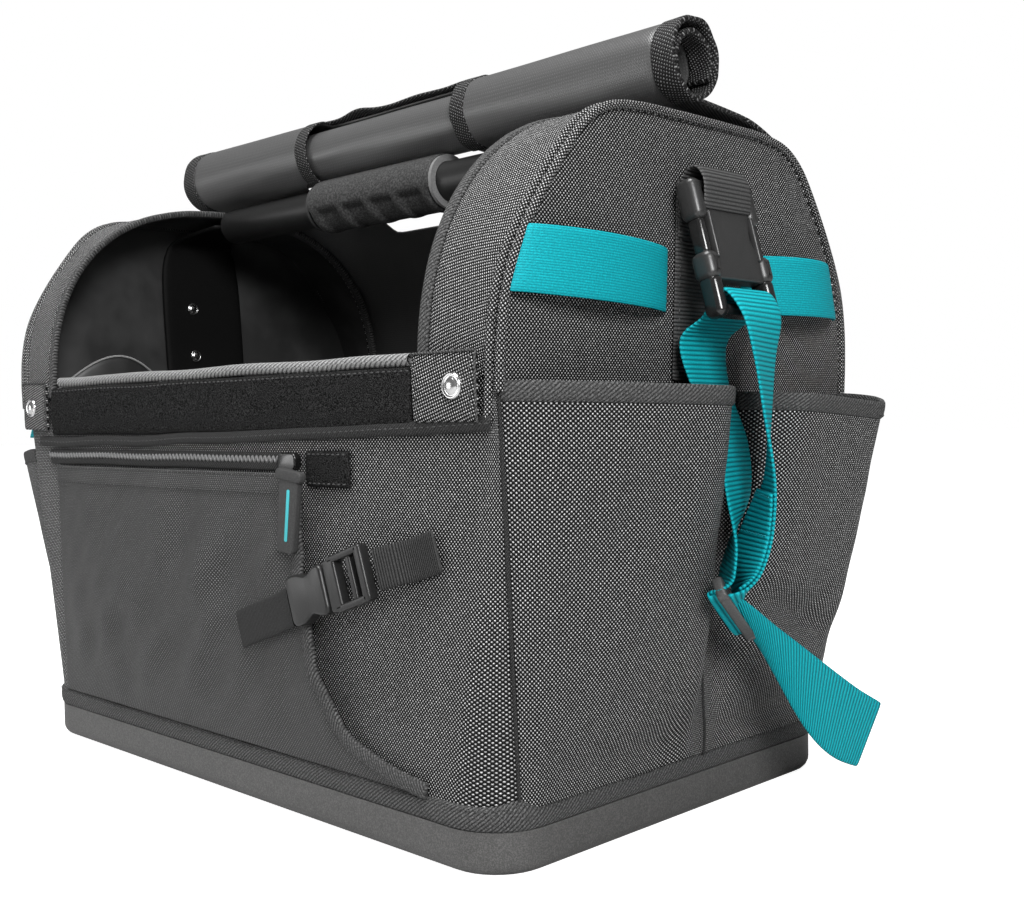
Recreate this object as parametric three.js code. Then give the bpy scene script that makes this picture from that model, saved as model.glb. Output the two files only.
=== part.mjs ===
// A soft-sided tool tote: moulded base tray, padded cloth walls, domed ends with bellows pockets,
// a tube handle with a foam grip, and a coated cover that is rolled up on top of the domes.
// Millimetres: +X runs along the bag, -Y is its front, +Z is up, the origin is under the tray's middle.
import * as THREE from "three";

// Driving sizes
const GAP = 0.4;
const SEAM = 1;
const CLOTH = 2.4;
const TAPE = 1.6;
const WEBBING = 1.8;
const TRAY = { halfLength: 215, halfDepth: 135, top: 20.5, wall: 4, floor: 4, cornerRadius: 30 };
const WALL = { foot: 20.9, top: 228, halfLength: 213.6, halfDepth: 133.6, lean: 0.018 };
const CORNER = { footRadius: 28, topRadius: 5 };
const BINDING = { foot: 20.9, top: 31 };
const ARCH_SPRING = 222;
const COVER_ARCH = { front: 137.2, back: 137.2, rise: 137, power: 2.35 };
const POCKET = { foot: 31.6, flareFrom: 46, binding: 13, halfDepth: 137.2, footTuck: 20.2, rearDrop: 7 };
const POCKET_SEAM = { lift: 2.4, cornerReach: 0.75 };
const FULLNESS = 0.6;
const ELASTIC = { height: 33, thick: 1.2, slant: 10, rise: 8 };
const RIM = { from: -183, to: 165, top: 233.6, thick: 5.2 };
const BAND = { from: -190, to: 169, foot: 197, top: 227.6, thick: 2 };
const BAND_TAPE = { from: -208, to: 206, foot: 189.6, top: 196.6, thick: 1.4 };
const ZIP = { from: -196, to: 64, foot: 178.4, top: 188.2, thick: 1.4 };
const PANEL = { from: -186, foot: 31.6, top: 177.8, bulge: 10, mouth: 8, edge: 7 };
const HANDLE = { z: 344.6, radius: 12, short: 8 };
const GRIP = { from: -76, to: 44, radius: 17.2, bore: 12.4, round: 3, grooves: 4, groove: 2.8, ring: 16.2 };
const ROLL = { y: 4, z: 383.2, radius: 21, pitch: 4.4, turns: 1.85 };
const COVER = { foot: 212, halfLength: 212, edge: 11, thick: 1.6, lift: 3.4, notchFoot: 331 };
const NOTCH = { from: -77, to: 65 };
const STRAP = { width: 39, y: -2, top: 318 };
const BUCKLE = { width: 49, slot: 41, thick: 11, barOut: 11, barZ: 309, tilt: 15 };
const SLIDE = { length: 44, height: 20, thick: 4, round: 5, slot: 40, slotHeight: 4.6, slotStep: 4.6 };
const PULLER = { top: 15, halfTop: 9.5, foot: 20, halfFoot: 7, thick: 4, turn: 7 };
const POCKET_STRAP = { width: 20, rise: 19 };

// The two ends: how far each leans out as it rises, how wide its arch band is, how high its pockets'
// rim stands and how far it swells out, and how high its elastic loops start. The arch of a band's
// inner edge has a reach to each side, a rise and a fullness.
const ENDS = [
  {
    name: "right",
    turn: 0,
    lean: 0.045,
    band: 50,
    rim: 217,
    swell: 1,
    elastic: 253,
    arch: { front: 133.5, back: 132, rise: 135.5, power: 2.25 },
  },
  {
    name: "left",
    turn: Math.PI,
    lean: 0.085,
    band: 37,
    rim: 190,
    swell: 1.25,
    elastic: 193,
    arch: { front: 132, back: 138.5, rise: 131.5, power: 2.5 },
  },
];

// The elastic loops: where each is sewn down, how far it stands off the panel, and how full its bow is
const ELASTICS = [
  { end: "right", side: "front", inner: -27, outer: -132, bulge: 14, bow: 0.6 },
  { end: "right", side: "rear", inner: 34, outer: 122, bulge: 17, bow: 0.6 },
  { end: "left", side: "front", inner: -34, outer: -133, bulge: 26, bow: 0.25 },
  { end: "left", side: "rear", inner: 27, outer: 124, bulge: 16, bow: 0.6 },
];

// Colours, roughness and metalness of each stuff
const STUFF = {
  cloth: { color: 0x1d1e20, roughness: 0.85, metalness: 0 },
  coated: { color: 0x2b2c2e, roughness: 0.5, metalness: 0 },
  tape: { color: 0x232325, roughness: 0.9, metalness: 0 },
  loop: { color: 0x121213, roughness: 1, metalness: 0 },
  rim: { color: 0x6f7174, roughness: 0.9, metalness: 0 },
  webbing: { color: 0x17181a, roughness: 0.85, metalness: 0 },
  teal: { color: 0x009ca6, roughness: 0.8, metalness: 0 },
  tray: { color: 0x4e4d4b, roughness: 0.75, metalness: 0 },
  plastic: { color: 0x161719, roughness: 0.35, metalness: 0 },
  rubber: { color: 0x55575a, roughness: 0.6, metalness: 0 },
  foam: { color: 0x222224, roughness: 0.95, metalness: 0 },
  steel: { color: 0xc9ccd0, roughness: 0.2, metalness: 1 },
};

const bag = new THREE.Group();
bag.name = "tool_bag";

const mix = (a, b, t) => a + (b - a) * t;
const share = (a, b, x) => Math.min(1, Math.max(0, (x - a) / (b - a)));
const at3 = (x, y, z) => new THREE.Vector3(x, y, z);

function place(name, stuff, geometry, parent = bag) {
  const mesh = new THREE.Mesh(geometry, new THREE.MeshStandardMaterial(STUFF[stuff]));
  mesh.name = name;
  parent.add(mesh);
  return mesh;
}

function solid(points, faces) {
  const geometry = new THREE.BufferGeometry().setFromPoints(points);
  geometry.setIndex(faces);
  return geometry;
}

// A sheet of even thickness: at(u, v) gives its outer face, and keeps() leaves cells out for a cut-out
function sheet({ columns, rows, thick, at, keeps = () => true }) {
  const wide = columns + 1;
  const outer = [];
  for (let j = 0; j <= rows; j++) {
    for (let i = 0; i <= columns; i++) outer.push(at(i / columns, j / rows));
  }
  const corner = (i, j) => THREE.MathUtils.clamp(j, 0, rows) * wide + THREE.MathUtils.clamp(i, 0, columns);
  const inner = outer.map((point, k) => {
    const i = k % wide;
    const j = Math.floor(k / wide);
    const across = outer[corner(i + 1, j)].clone().sub(outer[corner(i - 1, j)]);
    const along = outer[corner(i, j + 1)].clone().sub(outer[corner(i, j - 1)]);
    return point.clone().addScaledVector(across.cross(along).normalize(), -thick);
  });
  const back = outer.length;
  const faces = [];
  const quad = (a, b, c, d) => faces.push(a, b, c, a, c, d);
  const kept = (i, j) => i >= 0 && j >= 0 && i < columns && j < rows && keeps(i, j);
  for (let j = 0; j < rows; j++) {
    for (let i = 0; i < columns; i++) {
      if (!kept(i, j)) continue;
      const [a, b, c, d] = [corner(i, j), corner(i + 1, j), corner(i + 1, j + 1), corner(i, j + 1)];
      quad(a, b, c, d);
      quad(a + back, d + back, c + back, b + back);
      if (!kept(i, j - 1)) quad(b, a, a + back, b + back);
      if (!kept(i + 1, j)) quad(c, b, b + back, c + back);
      if (!kept(i, j + 1)) quad(d, c, c + back, d + back);
      if (!kept(i - 1, j)) quad(a, d, d + back, a + back);
    }
  }
  return solid([...outer, ...inner], faces);
}

// A body through loops of equal count: its ends are capped, or the last loop is joined to the first
function loft(loops, joined = false) {
  const count = loops[0].length;
  const points = loops.flat();
  const faces = [];
  const last = joined ? loops.length : loops.length - 1;
  for (let j = 0; j < last; j++) {
    const low = j * count;
    const high = ((j + 1) % loops.length) * count;
    for (let i = 0; i < count; i++) {
      const next = (i + 1) % count;
      faces.push(low + i, low + next, high + next, low + i, high + next, high + i);
    }
  }
  if (!joined) {
    const top = (loops.length - 1) * count;
    for (let i = 1; i < count - 1; i++) {
      faces.push(0, i + 1, i);
      faces.push(top, top + i, top + i + 1);
    }
  }
  return solid(points, faces);
}

// A rounded rectangle, anticlockwise from above, with its own left and right reach
function roundedLoop({ left, right, depth, radius, z, steps = 5 }) {
  const loop = [];
  const corners = [
    { x: right - radius, y: radius - depth, from: -90 },
    { x: right - radius, y: depth - radius, from: 0 },
    { x: radius - left, y: depth - radius, from: 90 },
    { x: radius - left, y: radius - depth, from: 180 },
  ];
  for (const { x, y, from } of corners) {
    for (let k = 0; k <= steps; k++) {
      const angle = THREE.MathUtils.degToRad(from + (90 * k) / steps);
      loop.push(at3(x + radius * Math.cos(angle), y + radius * Math.sin(angle), z));
    }
  }
  return loop;
}

// A flat plate with its outline in the X-Z plane and its thickness towards the front
function plate(shape, thick) {
  const geometry = new THREE.ExtrudeGeometry(shape, { depth: thick, bevelEnabled: false, curveSegments: 4 });
  return geometry.rotateX(Math.PI / 2);
}

// A rectangle with round corners, centred on the origin
function roundedShape(width, height, radius) {
  const shape = new THREE.Shape();
  const [x, y] = [width / 2, height / 2];
  shape.moveTo(radius - x, -y);
  shape.lineTo(x - radius, -y);
  shape.absarc(x - radius, radius - y, radius, -Math.PI / 2, 0);
  shape.lineTo(x, y - radius);
  shape.absarc(x - radius, y - radius, radius, 0, Math.PI / 2);
  shape.lineTo(radius - x, y);
  shape.absarc(radius - x, y - radius, radius, Math.PI / 2, Math.PI);
  shape.lineTo(-x, radius - y);
  shape.absarc(radius - x, radius - y, radius, Math.PI, Math.PI * 1.5);
  return shape;
}

// A rivet's domed head, standing along +Y
function rivetHead(radius, height) {
  const profile = [
    { r: 0, y: 0 },
    { r: radius, y: 0 },
    { r: radius, y: height * 0.35 },
    { r: radius * 0.7, y: height * 0.8 },
    { r: 0, y: height },
  ];
  return new THREE.LatheGeometry(profile.map(({ r, y }) => new THREE.Vector2(r, y)), 14);
}

// Where the walls stand at a height: the ends lean out, and the corners sharpen as they rise
const endX = (end, z) => WALL.halfLength + end.lean * (z - WALL.foot);
const frontY = (z) => -(WALL.halfDepth + WALL.lean * (z - WALL.foot));
const cornerRadius = (z) => mix(CORNER.footRadius, CORNER.topRadius, share(WALL.foot, WALL.top, z));
const onFront = (x, z, out) => at3(x, frontY(z) - out, z);

// Base tray: a shallow tub with a rounded foot
const trayProfile = [
  { inset: 7, z: 0 },
  { inset: 2.2, z: 1.8 },
  { inset: 0, z: 6.5 },
  { inset: 0, z: TRAY.top },
  { inset: TRAY.wall, z: TRAY.top },
  { inset: TRAY.wall + 1, z: TRAY.floor },
];
const trayLoops = trayProfile.map(({ inset, z }) =>
  roundedLoop({
    left: TRAY.halfLength - inset,
    right: TRAY.halfLength - inset,
    depth: TRAY.halfDepth - inset,
    radius: TRAY.cornerRadius - inset,
    z,
  }),
);
place("base_tray", "tray", loft(trayLoops));

// Base binding: the tape that covers the seam of the walls and the tray, all the way round
const bindingSection = [
  { out: GAP + TAPE, z: BINDING.foot },
  { out: GAP + TAPE, z: BINDING.top },
  { out: GAP, z: BINDING.top },
  { out: GAP, z: BINDING.foot },
];
const bindingLoops = bindingSection.map(({ out, z }) =>
  roundedLoop({
    left: endX(ENDS[1], z) + out,
    right: endX(ENDS[0], z) + out,
    depth: out - frontY(z),
    radius: cornerRadius(z) + out,
    z,
  }),
);
place("base_binding", "tape", loft(bindingLoops, true));

// Front and back walls: each runs from corner seam to corner seam, round both corners
const CORNER_STEPS = 4;
const STRAIGHT_STEPS = 10;
const WALL_COLUMNS = 2 * CORNER_STEPS + STRAIGHT_STEPS;
function wallPoint(u, z) {
  const radius = cornerRadius(z);
  const y = frontY(z) + radius;
  const [left, right] = [radius - endX(ENDS[1], z), endX(ENDS[0], z) - radius];
  const step = u * WALL_COLUMNS;
  const leftTurn = Math.max(0, 1 - step / CORNER_STEPS);
  const rightTurn = Math.max(0, (step - WALL_COLUMNS) / CORNER_STEPS + 1);
  const turn = (rightTurn - leftTurn) * (Math.PI / 2);
  const x = mix(left, right, share(CORNER_STEPS, WALL_COLUMNS - CORNER_STEPS, step));
  return at3(x + radius * Math.sin(turn), y - radius * Math.cos(turn), z);
}
const wallHeight = (v) => mix(WALL.foot, WALL.top, v);
place(
  "front_wall",
  "cloth",
  sheet({ columns: WALL_COLUMNS, rows: 5, thick: CLOTH, at: (u, v) => wallPoint(u, wallHeight(v)) }),
);
place(
  "back_wall",
  "cloth",
  sheet({
    columns: WALL_COLUMNS,
    rows: 5,
    thick: CLOTH,
    at: (u, v) => wallPoint(1 - u, wallHeight(v)).multiply(at3(1, -1, 1)),
  }),
);

// The arch of the bands' inner edges and of the cover, from the front over the top to the back: a
// superellipse
const ARCH_STEPS = 24;
const archStart = WALL.top + 2 * GAP;
function archPoint(v, { front, back, rise, power }, out = 0) {
  const start = Math.asin(Math.pow((archStart - ARCH_SPRING) / rise, power / 2));
  const angle = mix(start, Math.PI - start, v);
  const reach = (value) => Math.sign(value) * Math.pow(Math.abs(value), 2 / power);
  return {
    y: -((v < 0.5 ? front : back) + out) * reach(Math.cos(angle)),
    z: ARCH_SPRING + (rise + out) * reach(Math.sin(angle)),
  };
}

// The arch of an end panel, from its spring to its middle: straight shoulders and a flat top
const DOME = [
  { y: 137.2, z: archStart },
  { y: 136, z: 246 },
  { y: 132.8, z: 263 },
  { y: 127, z: 278.5 },
  { y: 114.6, z: 299.6 },
  { y: 97.9, z: 322.3 },
  { y: 85.6, z: 335.6 },
  { y: 70, z: 344.2 },
  { y: 48, z: 347.1 },
  { y: 25, z: 347.5 },
  { y: 0, z: 347.6 },
];
const domeFront = DOME.map(({ y, z }) => at3(0, -y, z));
const domeBack = DOME.slice(0, -1).map(({ y, z }) => at3(0, y, z));
const domeLine = new THREE.CatmullRomCurve3([...domeFront, ...domeBack.reverse()]);

// The outline of an end panel: up the front seam, over the arch and down the back seam
function endOutline() {
  const shape = new THREE.Shape();
  const seamY = (z) => -frontY(z) - cornerRadius(z) - SEAM;
  const seamRows = [WALL.foot, WALL.top + GAP];
  seamRows.forEach((z, k) => (k ? shape.lineTo(-seamY(z), z) : shape.moveTo(-seamY(z), z)));
  for (let k = 0; k <= ARCH_STEPS; k++) {
    const { y, z } = domeLine.getPoint(k / ARCH_STEPS);
    shape.lineTo(y, z);
  }
  seamRows.reverse().forEach((z) => shape.lineTo(seamY(z), z));
  return shape;
}

// Pieces of an end are made for the right end, and a half turn sets the left end's pieces
for (const end of ENDS) {
  const group = new THREE.Group();
  group.rotation.z = end.turn;
  bag.add(group);
  const onEnd = (y, z, out) => at3(endX(end, z) + out, y, z);

  // End panel: the flat padded dome, leaning out
  const panel = new THREE.ExtrudeGeometry(endOutline(), { depth: CLOTH, bevelEnabled: false });
  panel.applyMatrix4(new THREE.Matrix4().makeBasis(at3(0, 1, 0), at3(0, 0, 1), at3(1, 0, 0)));
  panel.translate(endX(end, 0) - CLOTH, 0, 0);
  panel.applyMatrix4(new THREE.Matrix4().makeShear(0, 0, 0, 0, end.lean, 0));
  place(`end_panel_${end.name}`, "cloth", panel, group);

  // Arch band: the cloth that runs over the dome from front wall to back wall
  const bandFrom = endX(end, ARCH_SPRING) - end.band;
  const bandPoint = (u, v, inset, out) => {
    const outer = domeLine.getPoint(v);
    const inner = archPoint(v, end.arch, out);
    const low = bandFrom + inset;
    const high = endX(end, outer.z) - CLOTH - GAP;
    return at3(mix(low, high, u), mix(inner.y, outer.y, u), mix(inner.z, outer.z, u));
  };
  place(
    `arch_band_${end.name}`,
    "cloth",
    sheet({ columns: 2, rows: ARCH_STEPS, thick: CLOTH, at: (u, v) => bandPoint(u, v, 0, 0) }),
    group,
  );

  // Arch binding: the folded tape on the band's inner edge
  const bindingWidth = 6;
  const bindingProud = 0.8;
  place(
    `arch_binding_${end.name}`,
    "tape",
    sheet({
      columns: 1,
      rows: ARCH_STEPS,
      thick: CLOTH + 2 * bindingProud,
      at: (u, v) => bandPoint(0, v, mix(-bindingWidth, -SEAM, u), bindingProud),
    }),
    group,
  );

  // Bellows pockets: one panel, sewn down along a valley, that swells out on both sides of it. A row
  // holds where a point starts at the foot, and where it ends and how far it stands out at the rim.
  const rimTable = [
    { foot: -137.2, y: -137.2, out: 0 },
    { foot: -118, y: -118, out: 13 },
    { foot: -90, y: -88, out: 26 },
    { foot: -60, y: -58, out: 34 },
    { foot: -32, y: -32, out: 38 },
    { foot: -8, y: -21, out: 36 },
    { foot: 0, y: -17, out: 29 },
    { foot: 5, y: -21, out: 16 },
    { foot: 9, y: -25, out: 5 },
    { foot: 12, y: -21, out: 0.3 },
    { foot: 16, y: 24, out: 0.3 },
    { foot: 19, y: 28, out: 6 },
    { foot: 25, y: 33, out: 24 },
    { foot: 40, y: 44, out: 35 },
    { foot: 64, y: 66, out: 38 },
    { foot: 92, y: 94, out: 38 },
    { foot: 116, y: 118, out: 37 },
    { foot: 127, y: 128, out: 30 },
    { foot: 132, y: 134, out: 14 },
    { foot: 137.2, y: 137.2, out: 0 },
  ];
  const pocketLine = new THREE.CatmullRomCurve3(rimTable.map(({ foot, y, out }) => at3(foot, y, out)));
  const rimZ = (y) => end.rim - POCKET.rearDrop * share(0, POCKET.halfDepth, y);
  const pocketPoint = (u, belowRim, proud) => {
    const { x: footY, y: rimY, z: rimOut } = pocketLine.getPoint(u);
    const z = belowRim(rimZ(rimY));
    const flare = Math.pow(share(POCKET.flareFrom, rimZ(rimY), z), FULLNESS);
    const tuck = mix(POCKET.footTuck, 0, share(WALL.foot, WALL.top, z));
    const y = mix(footY, rimY, flare) * (1 - tuck / POCKET.halfDepth);
    const radius = cornerRadius(z);
    const cornerY = -frontY(z) - radius;
    const past = share(0, radius, Math.abs(y) - cornerY);
    const turn = Math.asin(Math.min(past, POCKET_SEAM.cornerReach));
    const reach = radius + POCKET_SEAM.lift + proud;
    const side = turn > 0 ? cornerY + reach * Math.sin(turn) : Math.abs(y);
    const swell = flare * Math.max(0, rimOut) * end.swell;
    return onEnd(Math.sign(y) * side, z, reach * Math.cos(turn) - radius + swell);
  };
  const pocketColumns = 2 * (rimTable.length - 1);
  const pocketRows = 5;
  place(
    `end_pockets_${end.name}`,
    "cloth",
    sheet({
      columns: pocketColumns,
      rows: pocketRows,
      thick: TAPE,
      at: (u, v) => pocketPoint(u, (rim) => mix(POCKET.foot, rim - POCKET.binding, v), 0),
    }),
    group,
  );
  const rimProud = 0.5;
  place(
    `pocket_binding_${end.name}`,
    "tape",
    sheet({
      columns: pocketColumns,
      rows: 1,
      thick: TAPE + 2 * rimProud,
      at: (u, v) => pocketPoint(u, (rim) => mix(rim - POCKET.binding + GAP, rim, v), rimProud),
    }),
    group,
  );

  // Elastic loops: flat bands sewn down at both ends, standing off the panel between them
  for (const row of ELASTICS.filter((one) => one.end === end.name)) {
    const inner = row.inner * Math.cos(end.turn);
    const outer = row.outer * Math.cos(end.turn);
    const elasticPoint = (u, v) => {
      const t = outer > inner ? u : 1 - u;
      const y = mix(inner, outer - Math.sign(outer) * ELASTIC.slant * v, t);
      const z = end.elastic + ELASTIC.height * v + ELASTIC.rise * (1 - v) * Math.pow(t, 3);
      const stand = row.bulge * Math.pow(Math.sin(Math.PI * t), row.bow);
      return onEnd(y, z, ELASTIC.thick + GAP + stand);
    };
    const band = sheet({ columns: 12, rows: 1, thick: ELASTIC.thick, at: elasticPoint });
    place(`elastic_${row.side}_${end.name}`, "teal", band, group);
  }

  // Centre strap: webbing sewn up the middle of the end above the pockets
  const strapFoot = end.rim + 3;
  const strapPoint = (u, v) =>
    onEnd(STRAP.y + (u - 0.5) * STRAP.width, mix(strapFoot, STRAP.top, v), WEBBING + GAP);
  const strap = sheet({ columns: 1, rows: 1, thick: WEBBING, at: strapPoint });
  place(`centre_strap_${end.name}`, "webbing", strap, group);

  // Handle bracket: a bent plate riveted inside the dome, which carries the end of the tube
  const bracketThick = 3.6;
  const inside = CLOTH + GAP + bracketThick;
  const bracketTable = [
    { x: endX(end, 232) - inside, z: 232, half: 33 },
    { x: endX(end, 300) - inside, z: 300, half: 33 },
    { x: endX(end, 326) - inside - 1, z: 326, half: 30 },
    { x: endX(end, 326) - inside - 7, z: 336, half: 24 },
    { x: bandFrom - HANDLE.short + GAP, z: 342, half: 16 },
  ];
  const bracketPoint = (u, v) => {
    const { x, z, half } = bracketTable[Math.round(v * (bracketTable.length - 1))];
    return at3(x, mix(half, -half, u), z);
  };
  const bracket = sheet({
    columns: 2,
    rows: bracketTable.length - 1,
    thick: bracketThick,
    at: bracketPoint,
  });
  place(`handle_bracket_${end.name}`, "plastic", bracket, group);

  // Bracket rivets: their round heads show inside the dome, towards the bag's front
  const bracketRivet = { radius: 4.5, height: 2, y: -10 * Math.cos(end.turn), heights: [253, 288] };
  bracketRivet.heights.forEach((z, k) => {
    const head = rivetHead(bracketRivet.radius, bracketRivet.height);
    const rivet = place(`bracket_rivet_${end.name}_${k + 1}`, "steel", head, group);
    rivet.position.set(endX(end, z) - inside - GAP, bracketRivet.y, z);
    rivet.rotation.z = Math.PI / 2;
  });
}

// Front rim: a light woven binding along the top edge of the front wall
const rimHeight = RIM.top - WALL.top - GAP;
const rimBody = new THREE.ExtrudeGeometry(roundedShape(RIM.thick, rimHeight, 2), {
  depth: RIM.to - RIM.from,
  bevelEnabled: false,
  curveSegments: 3,
});
rimBody.applyMatrix4(new THREE.Matrix4().makeBasis(at3(0, 1, 0), at3(0, 0, 1), at3(1, 0, 0)));
rimBody.translate(RIM.from, frontY(WALL.top) + CLOTH / 2, WALL.top + GAP + rimHeight / 2);
place("front_rim", "rim", rimBody);

// A strip that lies flat on the front wall between two ends and two heights
function frontStrip({ from, to, foot, top, thick }, lift = GAP) {
  const at = (u, v) => {
    const z = mix(foot, top, v);
    return onFront(mix(from, to, u), z, lift + thick);
  };
  return sheet({ columns: 1, rows: 1, thick, at });
}

// Loop band for the cover's hook tape, the seam tape under it, and the zip
place("loop_band", "loop", frontStrip(BAND));
place("band_tape", "tape", frontStrip(BAND_TAPE));
place("zip", "tape", frontStrip(ZIP));

// Rivet tabs: the ends of the top band, folded over the arch bands and riveted
const tabLift = 1.4;
const tabs = [
  { name: "right", from: 171, to: 213, foot: 202, top: 233, thick: 2.6, rivetX: 198.6, rivetZ: 218 },
  { name: "left", from: -227, to: -194, foot: 200, top: 231, thick: 2.6, rivetX: -213.6, rivetZ: 215 },
];
for (const tab of tabs) {
  place(`rivet_tab_${tab.name}`, "cloth", frontStrip(tab, tabLift));
  const rivet = place(`tab_rivet_${tab.name}`, "steel", rivetHead(6, 2.4));
  rivet.position.copy(onFront(tab.rivetX, tab.rivetZ, tabLift + tab.thick + GAP));
  rivet.rotation.x = Math.PI;
}

// Front pocket: a soft panel, open along its curved right edge
const panelEdge = [
  { z: PANEL.foot, x: 170 },
  { z: 35, x: 150 },
  { z: 39, x: 134 },
  { z: 46, x: 117 },
  { z: 56, x: 108 },
  { z: 72, x: 101 },
  { z: 92, x: 95 },
  { z: 114, x: 87 },
  { z: 136, x: 82 },
  { z: 152, x: 80 },
  { z: 165, x: 77 },
  { z: 173, x: 71 },
  { z: PANEL.top, x: 60 },
];
const panelRows = panelEdge.length - 1;
function panelOut(u, z) {
  const rise = Math.pow(Math.sin(Math.PI * share(PANEL.foot, PANEL.top, z)), 0.7);
  const swell = Math.sin((Math.PI / 2) * Math.min(1, u * 3));
  return GAP + TAPE + rise * swell * mix(PANEL.bulge, PANEL.mouth, share(0.6, 1, u));
}
const panelPoint = (u, v) => {
  const { z, x } = panelEdge[Math.round(v * panelRows)];
  return onFront(mix(PANEL.from, x, u), z, panelOut(u, z));
};
place("front_pocket", "cloth", sheet({ columns: 12, rows: panelRows, thick: TAPE, at: panelPoint }));

// Pocket edge binding: the tape along the curved mouth
const edgeProud = 0.4;
const edgeRows = panelRows - 2;
const edgePoint = (u, v) => {
  const k = Math.round(v * edgeRows);
  const before = panelEdge[Math.max(0, k - 1)];
  const after = panelEdge[Math.min(panelRows, k + 1)];
  const across = new THREE.Vector2(after.z - before.z, before.x - after.x).normalize();
  const { x, z } = panelEdge[k];
  const step = mix(2 * GAP, PANEL.edge, u);
  return onFront(x + across.x * step, z + across.y * step, panelOut(1, z) + edgeProud);
};
place(
  "pocket_edge",
  "tape",
  sheet({ columns: 1, rows: edgeRows, thick: TAPE + 2 * edgeProud, at: edgePoint }),
);

// Zip slider, its rubber puller, and the square tab that covers the zip's end
const SLIDER = { x: 73, length: 15, height: 9, round: 3, thick: 4.5 };
const sliderShape = roundedShape(SLIDER.length, SLIDER.height, SLIDER.round);
const slider = place("zip_slider", "plastic", plate(sliderShape, SLIDER.thick));
slider.position.copy(onFront(SLIDER.x, (ZIP.foot + ZIP.top) / 2, GAP));
const pullerShape = new THREE.Shape();
pullerShape.moveTo(-PULLER.halfFoot, -PULLER.foot);
pullerShape.lineTo(PULLER.halfFoot, -PULLER.foot);
pullerShape.lineTo(PULLER.halfTop, PULLER.top);
pullerShape.absarc(0, PULLER.top, PULLER.halfTop, 0, Math.PI);
const puller = place("zip_puller", "rubber", plate(pullerShape, PULLER.thick));
puller.position.copy(onFront(SLIDER.x + PULLER.halfTop, ZIP.foot - PULLER.foot, 2 * SLIDER.thick));
puller.rotation.y = THREE.MathUtils.degToRad(PULLER.turn);
const endTab = { from: 86, to: 121, foot: 171, top: 189, thick: 2 };
place("zip_end_tab", "loop", frontStrip(endTab));

// A ribbon along the rows of a table: each row is a point of its middle line, and side() its width's way
function ribbon({ rows, width, thick, side, fineness = 2 }) {
  const line = new THREE.CatmullRomCurve3(rows.map(({ x, y, z }) => at3(x, y, z)));
  const steps = fineness * (rows.length - 1);
  const at = (u, v) => line.getPoint(v).addScaledVector(side(v), (u - 0.5) * width);
  return sheet({ columns: 1, rows: steps, thick, at });
}

// Pocket strap: webbing across the pocket's mouth with a small side-release buckle
const strapTurn = THREE.MathUtils.degToRad(POCKET_STRAP.rise);
const strapSide = at3(-Math.sin(strapTurn), 0, Math.cos(strapTurn));
const onPanel = (x, z) => {
  const k = panelEdge.findIndex((row) => row.z > z);
  const reach = mix(panelEdge[k - 1].x, panelEdge[k].x, share(panelEdge[k - 1].z, panelEdge[k].z, z));
  return panelOut(share(PANEL.from, reach, x), z);
};
const strapLow = [
  { x: 41, z: 96, lift: 3 },
  { x: 58, z: 102, lift: 3 },
  { x: 76, z: 108, lift: 3.4 },
  { x: 90, z: 113, lift: 5 },
].map(({ x, z, lift }) => onFront(x, z, onPanel(x, z) + lift));
const strapHigh = [
  { x: 153, z: 135, out: 13 },
  { x: 161, z: 137.8, out: 9 },
  { x: 168, z: 140, out: 2.6 },
  { x: 184, z: 145, out: 2.4 },
].map(({ x, z, out }) => onFront(x, z, out));
const pocketStrap = { width: POCKET_STRAP.width, thick: WEBBING, side: () => strapSide };
place("pocket_strap_low", "webbing", ribbon({ rows: strapLow, ...pocketStrap }));
place("pocket_strap_high", "webbing", ribbon({ rows: strapHigh, ...pocketStrap }));

// Pocket buckle: a solid receiver on the left, and a plug with a slot on the right
const POCKET_BUCKLE = { x: 121, z: 125, out: 12, length: 30, apart: 1 };
const PLUG_SLOT = { width: 6, height: 21, round: 1.5 };
const RECEIVER = { height: 25, round: 4, thick: 8 };
const PLUG = { height: 27, round: 3, thick: 6, sunk: 1 };
const pocketBuckle = new THREE.Group();
pocketBuckle.position.copy(onFront(POCKET_BUCKLE.x, POCKET_BUCKLE.z, POCKET_BUCKLE.out));
pocketBuckle.rotation.y = -strapTurn;
bag.add(pocketBuckle);
const halfApart = (POCKET_BUCKLE.length + POCKET_BUCKLE.apart) / 2;
const receiverShape = roundedShape(POCKET_BUCKLE.length, RECEIVER.height, RECEIVER.round);
const receiverPlate = plate(receiverShape, RECEIVER.thick);
const receiver = place("pocket_buckle_receiver", "plastic", receiverPlate, pocketBuckle);
receiver.position.x = -halfApart;
const plugShape = roundedShape(POCKET_BUCKLE.length, PLUG.height, PLUG.round);
plugShape.holes.push(roundedShape(PLUG_SLOT.width, PLUG_SLOT.height, PLUG_SLOT.round));
const plug = place("pocket_buckle_plug", "plastic", plate(plugShape, PLUG.thick), pocketBuckle);
plug.position.set(halfApart, -PLUG.sunk, 0);

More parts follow.
